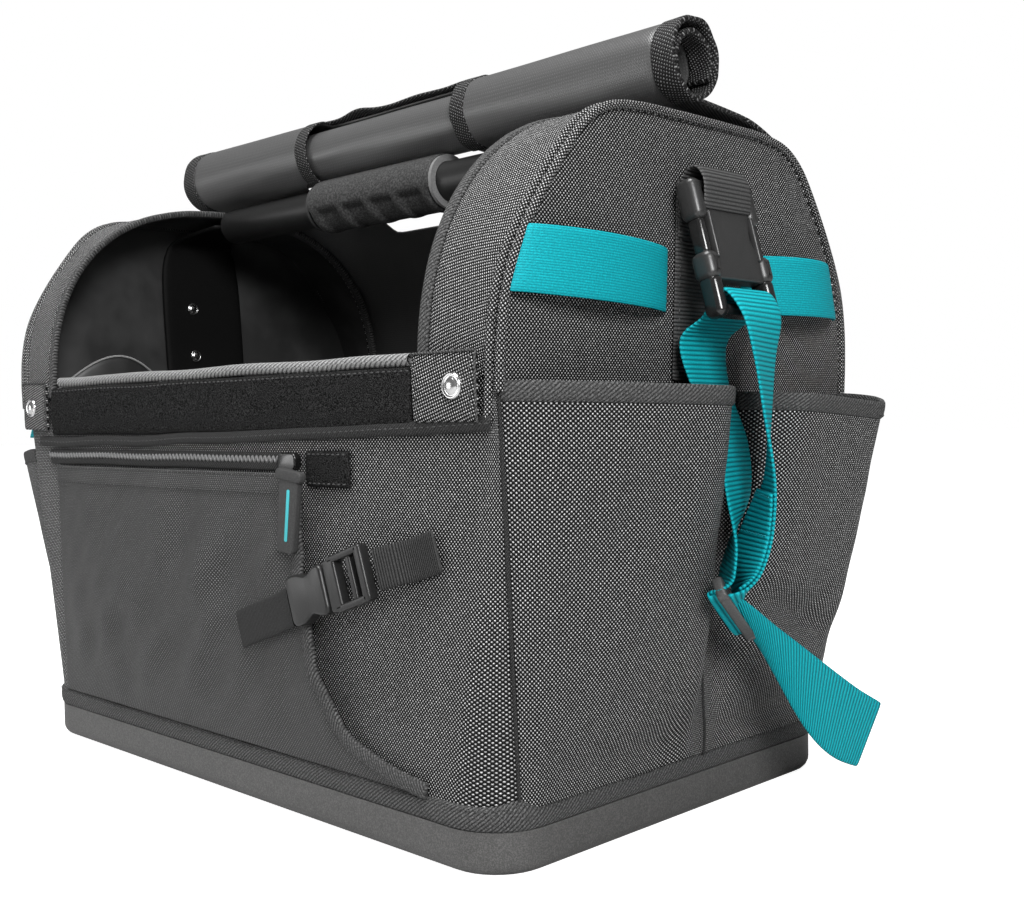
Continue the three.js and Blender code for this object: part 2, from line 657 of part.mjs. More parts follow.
// Handle: a tube between the brackets, with a foam sleeve that has finger grooves underneath
const tubeEnd = (end) => endX(end, ARCH_SPRING) - end.band - HANDLE.short;
const tubeLength = tubeEnd(ENDS[0]) + tubeEnd(ENDS[1]);
const TUBE_SIDES = 20;
const tubeBody = new THREE.CylinderGeometry(HANDLE.radius, HANDLE.radius, tubeLength, TUBE_SIDES);
const tube = place("handle_tube", "plastic", tubeBody);
tube.rotation.z = Math.PI / 2;
tube.position.set((tubeEnd(ENDS[0]) - tubeEnd(ENDS[1])) / 2, 0, HANDLE.z);
const GRIP_SIDES = 16;
const GRIP_STATIONS = 26;
function gripLoop(x, radiusAt) {
  const loop = [];
  for (let k = 0; k < GRIP_SIDES; k++) {
    const angle = (2 * Math.PI * k) / GRIP_SIDES;
    const radius = radiusAt(angle);
    loop.push(at3(x, radius * Math.cos(angle), HANDLE.z + radius * Math.sin(angle)));
  }
  return loop;
}
const gripLoops = [];
for (let k = 0; k <= GRIP_STATIONS; k++) {
  const along = k / GRIP_STATIONS;
  const x = mix(GRIP.from, GRIP.to, along);
  const end = Math.min(1, Math.min(x - GRIP.from, GRIP.to - x) / GRIP.round);
  const dip = GRIP.groove * (0.5 - 0.5 * Math.cos(2 * Math.PI * GRIP.grooves * along));
  const under = (angle) => Math.pow(Math.max(0, -Math.sin(angle)), 0.7);
  gripLoops.push(gripLoop(x, (angle) => GRIP.radius - 1.2 * (1 - end) - dip * under(angle)));
}
gripLoops.push(gripLoop(GRIP.to, () => GRIP.bore));
gripLoops.push(gripLoop(GRIP.from, () => GRIP.bore));
place("foam_grip", "foam", loft(gripLoops, true));
const ringThick = 2.4;
[GRIP.from - ringThick - GAP, GRIP.to + GAP].forEach((x, k) => {
  const ringRadii = [
    { x, radius: GRIP.ring },
    { x: x + ringThick, radius: GRIP.ring },
    { x: x + ringThick, radius: GRIP.bore },
    { x, radius: GRIP.bore },
  ];
  const loops = ringRadii.map((row) => gripLoop(row.x, () => row.radius));
  place(`grip_ring_${k ? "right" : "left"}`, "rubber", loft(loops, true));
});

// Cover: one coated sheet, sewn to the back wall, laid up the domes' backs and rolled forward on top
const COVER_RISE_ROWS = 12;
const ROLL_ROWS = Math.round(ROLL.turns * 18);
const COVER_ROWS = COVER_RISE_ROWS + ROLL_ROWS;
const riseEnd = 0.585;
function coverPath(row, proud) {
  if (row < 2) {
    const z = mix(COVER.foot, WALL.top - 4, row / 2);
    return { y: -frontY(z) + GAP + COVER.thick + proud, z };
  }
  if (row <= COVER_RISE_ROWS) {
    const along = mix(1, riseEnd, (row - 2) / (COVER_RISE_ROWS - 2));
    return archPoint(along, COVER_ARCH, COVER.lift + proud);
  }
  const turned = (ROLL.turns * (row - COVER_RISE_ROWS - 1)) / (ROLL_ROWS - 1);
  const radius = ROLL.radius - COVER.thick - proud - ROLL.pitch * turned;
  const angle = -Math.PI / 2 - 2 * Math.PI * turned;
  return { y: ROLL.y + radius * Math.cos(angle), z: ROLL.z + radius * Math.sin(angle) };
}
const notchTurns = 0.51;
const coverX = [COVER.halfLength, NOTCH.to, NOTCH.from, -COVER.halfLength];
const coverKeeps = (i, j) => {
  const middle = i === 1;
  const turned = (ROLL.turns * (j - COVER_RISE_ROWS - 1)) / (ROLL_ROWS - 1);
  const low = coverPath(j, 0).z < COVER.notchFoot && j <= COVER_RISE_ROWS;
  return !middle || low || turned > notchTurns;
};
const coverPoint = (u, v) => {
  const { y, z } = coverPath(Math.round(v * COVER_ROWS), 0);
  return at3(coverX[Math.round(u * 3)], y, z);
};
place(
  "cover",
  "coated",
  sheet({ columns: 3, rows: COVER_ROWS, thick: COVER.thick, at: coverPoint, keeps: coverKeeps }),
);
const coverEdgeProud = 0.3;
for (const end of ENDS) {
  const side = end.turn ? -1 : 1;
  const [near, far] = [COVER.halfLength + GAP, COVER.halfLength + COVER.edge];
  const edgeX = side > 0 ? [far, near] : [-near, -far];
  const coverEdgePoint = (u, v) => {
    const { y, z } = coverPath(Math.round(v * COVER_ROWS), coverEdgeProud);
    return at3(mix(edgeX[0], edgeX[1], u), y, z);
  };
  const thick = COVER.thick + 2 * coverEdgeProud;
  const edge = sheet({ columns: 1, rows: COVER_ROWS, thick, at: coverEdgePoint });
  place(`cover_edge_${end.name}`, "tape", edge);
}

// A flat plate with its outline in the Y-Z plane, its thickness centred on X
function endPlate(shape, thick) {
  const body = new THREE.ExtrudeGeometry(shape, { depth: thick, bevelEnabled: false, curveSegments: 3 });
  body.applyMatrix4(new THREE.Matrix4().makeBasis(at3(0, 1, 0), at3(0, 0, 1), at3(1, 0, 0)));
  return body.translate(-thick / 2, 0, 0);
}

// A buckle half: a rounded plate between two heights with a slot for the webbing
function buckleShape({ width, foot, top, slotFoot, slotTop }) {
  const shape = new THREE.Shape();
  const round = 4;
  const half = width / 2;
  shape.moveTo(round - half, foot);
  shape.lineTo(half - round, foot);
  shape.quadraticCurveTo(half, foot, half, foot + round);
  shape.lineTo(half, top - round);
  shape.quadraticCurveTo(half, top, half - round, top);
  shape.lineTo(round - half, top);
  shape.quadraticCurveTo(-half, top, -half, top - round);
  shape.lineTo(-half, foot + round);
  shape.quadraticCurveTo(-half, foot, round - half, foot);
  const slot = new THREE.Path();
  const reach = BUCKLE.slot / 2;
  slot.moveTo(-reach, slotFoot);
  slot.lineTo(-reach, slotTop);
  slot.lineTo(reach, slotTop);
  slot.lineTo(reach, slotFoot);
  shape.holes.push(slot);
  return shape;
}

// Release buckle on the right end: it hangs by its top bar and swings out at the foot
const rightEnd = ENDS[0];
const tilt = THREE.MathUtils.degToRad(BUCKLE.tilt);
const buckle = new THREE.Group();
buckle.position.set(endX(rightEnd, BUCKLE.barZ) + BUCKLE.barOut, STRAP.y, BUCKLE.barZ);
buckle.rotation.y = -tilt;
bag.add(buckle);
const upperHalf = { width: BUCKLE.width, foot: -36, top: 3, slotFoot: -10.5, slotTop: -2.5 };
const lowerHalf = { width: BUCKLE.width, foot: -64, top: -36.6, slotFoot: -58, slotTop: -48 };
place("release_buckle_receiver", "plastic", endPlate(buckleShape(upperHalf), BUCKLE.thick), buckle);
place("release_buckle_plug", "plastic", endPlate(buckleShape(lowerHalf), BUCKLE.thick), buckle);

// Hanger: webbing that comes up the end, folds over and holds the buckle's top bar
const hangerTable = [
  { out: 4.6, z: 289 },
  { out: 4.6, z: 305 },
  { out: 4.8, z: 314 },
  { out: 7.6, z: 319.6 },
  { out: 11, z: 321.4 },
  { out: 14.4, z: 319.6 },
  { out: 17.4, z: 314 },
  { out: 17.6, z: 303 },
];
const hangerPoint = (u, v) => {
  const { out, z } = hangerTable[Math.round(v * (hangerTable.length - 1))];
  return at3(endX(rightEnd, z) + out, STRAP.y + (u - 0.5) * STRAP.width, z);
};
const hanger = sheet({ columns: 1, rows: hangerTable.length - 1, thick: WEBBING, at: hangerPoint });
place("buckle_hanger", "webbing", hanger);

// Teal strap: looped through the buckle's lower slot, with both runs twisting down the valley
const barDown = (lowerHalf.foot + lowerHalf.slotFoot) / 2;
const barX = buckle.position.x - barDown * Math.sin(tilt);
const barZ = BUCKLE.barZ + barDown * Math.cos(tilt);
const barWrap = 9.4;
const loopTable = [
  { x: 248.5, y: -6, z: 129.5, turn: 54 },
  { x: 247, y: -2, z: 138, turn: 50 },
  { x: 246, y: 3, z: 162, turn: 42 },
  { x: 241, y: 4, z: 190, turn: 30 },
  { x: 235, y: -1, z: 217, turn: 8 },
  { x: 234, y: -4, z: 238, turn: 0 },
  { x: barX - barWrap, y: STRAP.y, z: barZ - 3, turn: 0 },
  { x: barX, y: STRAP.y, z: barZ + barWrap, turn: 0 },
  { x: barX + barWrap, y: STRAP.y, z: barZ - 2, turn: 0 },
  { x: barX + barWrap, y: STRAP.y + 1, z: 230, turn: 16 },
  { x: 260, y: 3, z: 204, turn: 38 },
  { x: 260, y: 8, z: 170, turn: 46 },
  { x: 257, y: 6, z: 142, turn: 26 },
  { x: 259, y: 3, z: 127, turn: 20 },
];
const loopTurn = (v) => {
  const step = v * (loopTable.length - 1);
  const k = Math.min(Math.floor(step), loopTable.length - 2);
  const turn = THREE.MathUtils.degToRad(mix(loopTable[k].turn, loopTable[k + 1].turn, step - k));
  return at3(-Math.sin(turn), Math.cos(turn), 0);
};
const loopRibbon = { rows: loopTable, width: STRAP.width, thick: WEBBING, side: loopTurn, fineness: 4 };
place("strap_loop", "teal", ribbon(loopRibbon));

// Strap slide: the flat three-bar slide that the strap is threaded through, standing on edge
const slideAxis = at3(0.2, 0.38, -0.9).normalize();
const slideFacing = at3(0.68, 0.6, 0.43);
const slideUp = slideFacing.cross(slideAxis).normalize();
const slideShape = roundedShape(SLIDE.length, SLIDE.height, SLIDE.round);
for (const middle of [-SLIDE.slotStep, SLIDE.slotStep]) {
  const [reach, half] = [SLIDE.slot / 2, SLIDE.slotHeight / 2];
  const slot = new THREE.Path();
  slot.moveTo(-reach, middle - half);
  slot.lineTo(-reach, middle + half);
  slot.lineTo(reach, middle + half);
  slot.lineTo(reach, middle - half);
  slideShape.holes.push(slot);
}
const slideDepth = { depth: SLIDE.thick, bevelEnabled: false, curveSegments: 3 };
const slideBody = new THREE.ExtrudeGeometry(slideShape, slideDepth);
slideBody.applyMatrix4(new THREE.Matrix4().makeBasis(slideAxis, slideUp, slideAxis.clone().cross(slideUp)));
const slide = place("strap_slide", "rubber", slideBody);
slide.position.set(253.5, -9.5, 109);

// Strap tail: the free end, which turns flat to the end and falls away to the rear
const tailTable = [
  { x: 258, y: 0, z: 102 },
  { x: 261, y: 20, z: 80 },
  { x: 265, y: 42, z: 60 },
  { x: 268, y: 64, z: 45 },
  { x: 270, y: 85, z: 35 },
];
const tailEnd = at3(0, -0.67, -0.74);
const tailSide = (v) => slideAxis.clone().lerp(tailEnd, v).normalize();
place("strap_tail", "teal", ribbon({ rows: tailTable, width: STRAP.width, thick: WEBBING, side: tailSide }));

// Inner pocket: a shallow cloth pocket with an arched rim inside the left end, on the front side
const innerPocket = { inset: 13, to: 31, foot: 60, rim: 224, arch: 27, bulge: 12 };
const innerPoint = (u, v) => {
  const z = mix(innerPocket.foot, innerPocket.rim + innerPocket.arch * Math.sin(Math.PI * u), v);
  const stand = innerPocket.bulge * Math.sin(Math.PI * u) * v;
  const from = frontY(z) + cornerRadius(z) + innerPocket.inset;
  return at3(-endX(ENDS[1], z) + CLOTH + GAP + TAPE + stand, mix(from, -innerPocket.to, u), z);
};
place("inner_pocket", "cloth", sheet({ columns: 8, rows: 4, thick: TAPE, at: innerPoint }));

export default bag;
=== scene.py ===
import math

import bmesh
import bpy
from mathutils import Matrix, Vector, noise


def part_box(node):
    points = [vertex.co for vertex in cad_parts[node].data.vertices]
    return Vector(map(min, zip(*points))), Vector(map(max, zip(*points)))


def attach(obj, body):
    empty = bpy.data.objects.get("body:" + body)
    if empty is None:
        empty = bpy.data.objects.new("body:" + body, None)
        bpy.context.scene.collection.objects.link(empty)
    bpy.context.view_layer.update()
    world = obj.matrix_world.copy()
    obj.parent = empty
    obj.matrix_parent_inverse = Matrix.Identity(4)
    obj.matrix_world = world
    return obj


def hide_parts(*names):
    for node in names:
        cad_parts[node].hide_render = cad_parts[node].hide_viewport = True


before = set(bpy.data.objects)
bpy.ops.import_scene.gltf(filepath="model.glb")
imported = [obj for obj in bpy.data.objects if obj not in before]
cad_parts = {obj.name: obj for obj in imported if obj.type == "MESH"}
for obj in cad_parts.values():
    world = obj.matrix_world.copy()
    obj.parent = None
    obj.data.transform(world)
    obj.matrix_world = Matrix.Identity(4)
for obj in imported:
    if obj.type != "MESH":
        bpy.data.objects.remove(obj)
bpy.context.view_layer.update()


# Base tray: a shallow tub moulded in matte dark plastic with a fine grain and a rounded foot.
# The cloth walls stand in it, and it carries the whole bag on its flat underside.
def add(tree, kind, inputs=None, **settings):
    """A node of that kind. Each named input is linked to a socket or set to a constant."""
    made = tree.nodes.new(kind)
    for key, value in settings.items():
        setattr(made, key, value)
    for key, value in (inputs or {}).items():
        if isinstance(value, bpy.types.NodeSocket):
            tree.links.new(value, made.inputs[key])
        else:
            made.inputs[key].default_value = value
    return made


def maths(tree, operation, a, b=0.0):
    return add(tree, "ShaderNodeMath", {0: a, 1: b}, operation=operation).outputs[0]


def effect(name, inputs, outputs):
    """A shader node group with a Vector input and the named numbers: its tree, sources and sinks."""
    tree = bpy.data.node_groups.new(name, "ShaderNodeTree")
    tree.interface.new_socket(name="Vector", in_out="INPUT", socket_type="NodeSocketVector")
    for label in inputs:
        tree.interface.new_socket(name=label, in_out="INPUT", socket_type="NodeSocketFloat")
    for label in outputs:
        tree.interface.new_socket(name=label, in_out="OUTPUT", socket_type="NodeSocketFloat")
    return tree, tree.nodes.new("NodeGroupInput").outputs, tree.nodes.new("NodeGroupOutput").inputs


def material(name, **constants):
    """A material with its Principled shader, whose constant inputs are set straight on its sockets."""
    made = bpy.data.materials.new(name)
    made.use_nodes = True
    shader = made.node_tree.nodes["Principled BSDF"]
    for key, value in constants.items():
        shader.inputs[key.replace("_", " ").title().replace("Ior", "IOR")].default_value = value
    return made, made.node_tree, shader.inputs


def grey(value, warmth=0.0):
    return (value * (1 + warmth), value, value * (1 - warmth), 1.0)


def group(tree, node_tree, **inputs):
    """A use of a shader node group with those inputs: its outputs."""
    return add(tree, "ShaderNodeGroup", inputs, node_tree=node_tree).outputs


def surface(tree, shader, factor, dark, light, height, depth, strength):
    """Joins a material up: its colour goes from dark to light by a factor, and a height makes its bumps."""
    colour = add(tree, "ShaderNodeMix", {"Factor": factor, "A": dark, "B": light}, data_type="RGBA")
    tree.links.new(colour.outputs["Result"], shader["Base Color"])
    bump = add(tree, "ShaderNodeBump", {"Height": height, "Distance": depth, "Strength": strength})
    tree.links.new(bump.outputs[0], shader["Normal"])


grain_tree, source, sink = effect("grain", ["Scale", "Detail"], ["Height", "Spots"])
grain_inputs = {label: source[label] for label in ("Vector", "Scale", "Detail")}
grain_noise = add(grain_tree, "ShaderNodeTexNoise", grain_inputs).outputs[0]
grain_tree.links.new(grain_noise, sink["Height"])
grain_spots = add(grain_tree, "ShaderNodeMapRange", {0: grain_noise, 1: 0.42, 2: 0.66}).outputs[0]
grain_tree.links.new(grain_spots, sink["Spots"])


def grained(name, dark, light, scale, depth, **constants):
    """A moulded or foamed stuff: a fine grain in its colour and its surface."""
    made, tree, shader = material(name, **constants)
    place = add(tree, "ShaderNodeTexCoord").outputs["Object"]
    grain = group(tree, grain_tree, Vector=place, Scale=scale, Detail=3.0)
    surface(tree, shader, grain["Spots"], dark, light, grain["Height"], depth, 0.6)
    return made


def shown(name, data):
    """An object of the scene with that mesh, lamp or camera."""
    made = bpy.data.objects.new(name, data)
    bpy.context.scene.collection.objects.link(made)
    return made


def piece(name, bm, stuff, slot, *nodes, sharp=None):
    """A finished object from a bmesh. It rides on the bag and stands for the named solids."""
    mesh = bpy.data.meshes.new(name)
    bm.to_mesh(mesh)
    bm.free()
    mesh.shade_smooth()
    if sharp:
        mesh.set_sharp_from_angle(angle=math.radians(sharp))
    for one in stuff if isinstance(stuff, list) else [stuff]:
        mesh.materials.append(one)
    made = shown(name, mesh)
    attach(made, "root")
    if nodes:
        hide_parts(*nodes)
    return made


tray_plastic = grained("tray plastic", grey(0.037, 0.02), grey(0.078, 0.02), 1500.0, 0.0003, roughness=0.55)
tray_low, tray_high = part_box("base_tray")
tray_wall, tray_floor, tray_corner, tray_foot = 0.004, 0.004, 0.030, 0.0065
rounding = {"profile": 0.5, "affect": "EDGES", "material": -1}
bm = bmesh.new()
bmesh.ops.create_cube(bm, size=1.0)
bmesh.ops.scale(bm, vec=tray_high - tray_low, verts=bm.verts)
bmesh.ops.translate(bm, vec=(tray_low + tray_high) / 2, verts=bm.verts)
upright = [e for e in bm.edges if abs(e.verts[0].co.z - e.verts[1].co.z) > 0.01]
bmesh.ops.bevel(bm, geom=upright, offset=tray_corner, segments=9, **rounding)
foot = [e for e in bm.edges if all(v.co.z < 0.0001 for v in e.verts)]
bmesh.ops.bevel(bm, geom=foot, offset=tray_foot, segments=5, **rounding)
top = max(bm.faces, key=lambda f: f.calc_center_median().z)
bmesh.ops.inset_region(bm, faces=[top], thickness=tray_wall)
bmesh.ops.inset_region(bm, faces=[top], thickness=0.001, depth=tray_floor - tray_high.z)
piece("tray", bm, tray_plastic, "tray", "base_tray", sharp=40)


# Base binding: a soft twill tape, sewn all the way round over the seam of tray and walls.
# It puckers between its stitches and peaks where the corner seams run into it.
def mix(a, b, t):
    return a + (b - a) * t


def share(a, b, x):
    return min(1.0, max(0.0, (x - a) / (b - a)))


def uneven(x, y, z, size, amount):
    """A smooth random height at a point, with bumps about that size."""
    return amount * noise.noise(Vector((x, y, z)) / size)


def turned_uv(tree, turn):
    """The cloth's own flat coordinates in metres, turned in the plane of the cloth."""
    flat = add(tree, "ShaderNodeUVMap", uv_map="flat").outputs[0]
    return add(tree, "ShaderNodeVectorRotate", {"Vector": flat, "Angle": turn}).outputs[0]


def mix_factor(tree, value, amount):
    """One where amount is 0, and the value where amount is 1."""
    return add(tree, "ShaderNodeMapRange", {0: value, 3: 1.0 - amount, 4: 1.0}).outputs[0]


ribs_tree, source, sink = effect("ribs", ["Pitch", "Fullness"], ["Height"])
rib_x = add(ribs_tree, "ShaderNodeSeparateXYZ", {0: source["Vector"]}).outputs[0]
rib_turn = maths(ribs_tree, "MULTIPLY", maths(ribs_tree, "DIVIDE", rib_x, source["Pitch"]), math.pi)
rib_wave = maths(ribs_tree, "ABSOLUTE", maths(ribs_tree, "SINE", rib_turn))
ribs_tree.links.new(maths(ribs_tree, "POWER", rib_wave, source["Fullness"]), sink["Height"])


def ribbed(name, dark, light, pitch, turn, depth, fuzz=0.35, fullness=0.8, **constants):
    """A ribbed tape, webbing or elastic: ribs across its flat coordinates, with uneven threads. The rib
    crowns are painted lighter and the grooves darker, a painted highlight and shade.
    """
    made, tree, shader = material(name, **constants)
    flat = turned_uv(tree, turn)
    ribs = group(tree, ribs_tree, Vector=flat, Pitch=pitch, Fullness=fullness)["Height"]
    threads = group(tree, grain_tree, Vector=flat, Scale=1100.0, Detail=2.0)
    # Painted light and shade: the colour follows the rib height, lighter on the crowns and darker in the
    # grooves; the uneven threads vary it at random.
    rib_sheen_and_fuzz = maths(tree, "MULTIPLY", ribs, mix_factor(tree, threads["Spots"], fuzz))
    height = maths(tree, "ADD", ribs, maths(tree, "MULTIPLY", threads["Height"], fuzz))
    surface(tree, shader, rib_sheen_and_fuzz, dark, light, height, depth, 0.8)
    return made


def run_lengths(points):
    """How far along a line of points each of them lies."""
    run = [0.0]
    for a, b in zip(points, points[1:]):
        run.append(run[-1] + (b - a).length)
    return run


def cloth(
    name, columns, rows, at, thick, stuff, slot, *nodes,
    ring=False, keeps=None, lined=False, plan=None, held=None, rests_on=(),
):
    """A cloth from a grid whose point (u, v) goes to at(u, v), with its flat size as a UV map in metres.
    keeps(i, j) says which faces stay, plan(point) gives the flat coordinates where they are a plain view,
    and held is not used."""
    bm = bmesh.new()
    bmesh.ops.create_grid(bm, x_segments=columns, y_segments=rows, size=0.5)
    bm.verts.ensure_lookup_table()
    for vert in bm.verts:
        vert.co = at(vert.co.x + 0.5, vert.co.y + 0.5)
    wide = columns + 1
    across = run_lengths([bm.verts[(rows // 2) * wide + i].co for i in range(wide)])
    along = run_lengths([bm.verts[j * wide + columns // 2].co for j in range(rows + 1)])
    flat = bm.loops.layers.uv.new("flat")
    for face in bm.faces:
        for loop in face.loops:
            j, i = divmod(loop.vert.index, wide)
            loop[flat].uv = plan(loop.vert.co) if plan else (across[i], along[j])
    if keeps:
        gone = [f for k, f in enumerate(bm.faces) if not keeps(k % columns, k // columns)]
        bmesh.ops.delete(bm, geom=gone, context="FACES")
    if ring:
        bmesh.ops.remove_doubles(bm, verts=bm.verts, dist=0.00001)
    area = sum(f.calc_area() for f in bm.faces)
    made = piece(name, bm, stuff, slot, *nodes)
    if thick:
        shell = made.modifiers.new("thickness", "SOLIDIFY")
        shell.thickness, shell.offset = thick, -1.0
        shell.material_offset = 1 if lined else 0
    smooth = made.modifiers.new("smooth", "SUBSURF")
    smooth.levels = smooth.render_levels = 1
    return made


def stitches(name, at, pitch=0.0042, stitch=0.0027, thick=0.0009, stuff=None):
    """A row of stitches along at(t): each is a small round bar that lies half sunk in the cloth."""
    bm = bmesh.new()
    count = round(run_lengths([at(k / 40) for k in range(41)])[-1] / pitch)
    for k in range(count):
        t = (k + 0.5) / count
        ahead = at(t + 0.25 / count) - at(t - 0.25 / count)
        turn = Vector((1, 0, 0)).rotation_difference(ahead).to_matrix().to_4x4()
        shape = Matrix.Diagonal((stitch, thick, thick, 1.0))
        spot = Matrix.Translation(at(t)) @ turn @ shape
        bmesh.ops.create_icosphere(bm, subdivisions=1, radius=0.5, matrix=spot)
    return piece(name, bm, stuff or thread, "tape")


def around(u, left, right, depth, radius):
    """A point of a rounded rectangle, anticlockwise from the middle of its front, and the way out."""
    end_run = 2 * (depth - radius)
    runs = [right - radius, end_run, left + right - 2 * radius, end_run, left - radius]
    arc = radius * math.pi / 2
    corners = [(right - radius, radius - depth), (right - radius, depth - radius)]
    corners += [(radius - left, depth - radius), (radius - left, radius - depth)]
    starts = [(0, -depth), (right, radius - depth), (right - radius, depth), (-left, depth - radius)]
    starts += [(radius - left, -depth)]
    ahead = [(1, 0), (0, 1), (-1, 0), (0, -1), (1, 0)]
    left_over = (u % 1.0) * (sum(runs) + 4 * arc)
    for k, run in enumerate(runs):
        (x, y), (dx, dy) = starts[k], ahead[k]
        if left_over <= run or k == 4:
            return x + dx * left_over, y + dy * left_over, dy, -dx
        left_over -= run
        if left_over <= arc:
            turn = math.atan2(-dx, dy) + left_over / radius
            cx, cy = corners[k]
            return cx + radius * math.cos(turn), cy + radius * math.sin(turn), math.cos(turn), math.sin(turn)
        left_over -= arc


wall_foot, wall_top = 0.0209, 0.228
foot_half_x, foot_half_y, foot_corner, top_corner = 0.2136, 0.1336, 0.028, 0.0025
end_lean, front_lean = {"right": 0.045, "left": 0.085}, 0.018


def end_x(end, z):
    return foot_half_x + end_lean[end] * (z - wall_foot)


def front_y(z):
    return -(foot_half_y + front_lean * (z - wall_foot))


def corner_radius(z):
    return mix(foot_corner, top_corner, share(wall_foot, wall_top, z))


binding_foot, binding_top, binding_fold, binding_thick = 0.0204, 0.0318, 0.0021, 0.0014
peak_lift, peak_fold, peak_half = 0.0035, 0.0008, 0.0075
corner_seams = [(x, y) for x in (-0.212, 0.212) for y in (-0.1175, 0.1175)]


def base_binding_at(u, v):
    z = mix(binding_foot, binding_top, v)
    x, y, out_x, out_y = around(u, end_x("left", z), end_x("right", z), -front_y(z), corner_radius(z))
    fold = 0.0004 + binding_fold * math.sin(math.pi * min(1.0, v * 0.9 + 0.12)) ** 0.6
    fold += uneven(x, y, z, 0.008, 0.0004)
    lift = uneven(x, y, 1.0, 0.03, 0.0012) * v
    for seam_x, seam_y in corner_seams:
        near = math.exp(-(((x - seam_x) ** 2 + (y - seam_y) ** 2) / peak_half**2))
        lift, fold = lift + peak_lift * near * v, fold + peak_fold * near
    return Vector((x + out_x * fold, y + out_y * fold, z + lift))


dark_shine = {"roughness": 0.6, "specular_ior_level": 0.25}
dark_tape = ribbed("dark tape", grey(0.003), grey(0.040), 0.0012, 0.9, 0.0005, fuzz=0.7, **dark_shine)
twill_shine = {"roughness": 0.7, "specular_ior_level": 0.2}
twill_tape = ribbed("twill tape", grey(0.003), grey(0.125), 0.0016, 0.9, 0.0005, fuzz=0.7, **twill_shine)
thread = grained("thread", grey(0.012), grey(0.050), 1500.0, 0.0001, roughness=0.6)
cloth(
    "base_binding_tape", 300, 4, base_binding_at, binding_thick, twill_tape, "tape", "base_binding",
    ring=True,
)
stitches("base_binding_stitches", lambda t: base_binding_at(t, 0.82))


# Front and back walls: padded cloth with a coarse plain weave outside and a smooth coated lining inside.
# Each runs round both corners to a seam at the edge of the end panel.
# The weave group gives the thread heights for the bumps, and a mask of the warp threads' crowns for a painted
# highlight.
weave_tree, source, sink = effect("weave", ["Pitch", "Fullness"], ["Height", "Warp"])
thread_at = add(weave_tree, "ShaderNodeSeparateXYZ", {0: source["Vector"]}).outputs
steps = [maths(weave_tree, "DIVIDE", thread_at[k], source["Pitch"]) for k in (0, 1)]
cells = [maths(weave_tree, "FLOOR", step) for step in steps]
warp_over = maths(weave_tree, "FLOORED_MODULO", maths(weave_tree, "ADD", *cells), 2.0)
turns = [maths(weave_tree, "SINE", maths(weave_tree, "MULTIPLY", step, math.pi)) for step in steps]
crests = [maths(weave_tree, "ABSOLUTE", turn) for turn in turns]
waves = [maths(weave_tree, "POWER", crest, source["Fullness"]) for crest in crests]
crown = maths(weave_tree, "MULTIPLY", *waves)
weave_tree.links.new(crown, sink["Height"])
weave_tree.links.new(maths(weave_tree, "MULTIPLY", crown, warp_over), sink["Warp"])


def woven(name, dark, light, pitch, turn, depth, fuzz=0.5, **constants):
    """A plain-woven cloth: the crowns of the threads of one way are painted lighter as a highlight, and its
    tone drifts a little at random.
    """
    made, tree, shader = material(name, **constants)
    flat = turned_uv(tree, turn)
    weave = group(tree, weave_tree, Vector=flat, Pitch=pitch, Fullness=1.7)
    drift = group(tree, grain_tree, Vector=flat, Scale=900.0, Detail=2.0)["Spots"]
    # Painted highlight: the warp crowns get the light colour, varied at random by the drift.
    lit = maths(tree, "MULTIPLY", weave["Warp"], mix_factor(tree, drift, fuzz))
    surface(tree, shader, lit, dark, light, weave["Height"], depth, 0.7)
    return made


cloth_shine = {"roughness": 0.5, "specular_ior_level": 0.1}
# Body cloth: near black, with a pale grey painted highlight on the warp crowns.
body_cloth = woven("body cloth", grey(0.003), grey(0.90), 0.00105, 0.0, 0.0006, **cloth_shine)
lining_shine = {"roughness": 0.45, "specular_ior_level": 0.4}
# Coated lining: its large cloudy patches of lighter colour are a painted sheen.
lining = grained("coated lining", grey(0.021), grey(0.054), 16.0, 0.004, **lining_shine)
corner_steps, straight_steps, wall_rows = 6, 40, 24
wall_columns = 2 * corner_steps + straight_steps


def wall_point(u, z):
    radius = corner_radius(z)
    left, right = radius - end_x("left", z), end_x("right", z) - radius
    step = u * wall_columns
    left_turn = max(0.0, 1 - step / corner_steps)
    right_turn = max(0.0, (step - wall_columns) / corner_steps + 1)
    turn = (right_turn - left_turn) * (math.pi / 2)
    x = mix(left, right, share(corner_steps, wall_columns - corner_steps, step))
    pad = uneven(x, 0.0, z, 0.05, 0.0008)
    return Vector((x + radius * math.sin(turn), front_y(z) + radius - (radius + pad) * math.cos(turn), z))


def front_wall_at(u, v):
    return wall_point(u, mix(wall_foot, wall_top, v))


def back_wall_at(u, v):
    x, y, z = wall_point(1 - u, mix(wall_foot, wall_top, v))
    return Vector((x, -y, z))


wall_thick = 0.0024
walls = [("front_wall", front_wall_at), ("back_wall", back_wall_at)]
for node, wall_at in walls:
    cloth(
        f"{node}_cloth", wall_columns, wall_rows, wall_at, wall_thick, [body_cloth, lining], "cloth", node,
        lined=True, held="stretched", rests_on=["base_tray"],
    )


# Domed ends: flat padded end panels that lean out, the bands of cloth that run over their arches,
# two welts along the seam of the two, and a twill binding on the bands' inner edges.
def along_curve(rows, t):
    """A point of a smooth curve through the rows; every row takes an equal share of t."""
    last = len(rows) - 1
    step = min(max(t, 0.0) * last, last - 0.000001)
    k = int(step)
    w = step - k
    a, b, c, d = (Vector(rows[min(max(k + i, 0), last)]) for i in (-1, 0, 1, 2))
    return b + 0.5 * w * ((c - a) + w * ((2 * a - 5 * b + 4 * c - d) + w * (3 * (b - c) + d - a)))


def turned(side, x, y, z):
    """A point of the right end, or after a half turn of the left end."""
    return Vector((side * x, side * y, z))


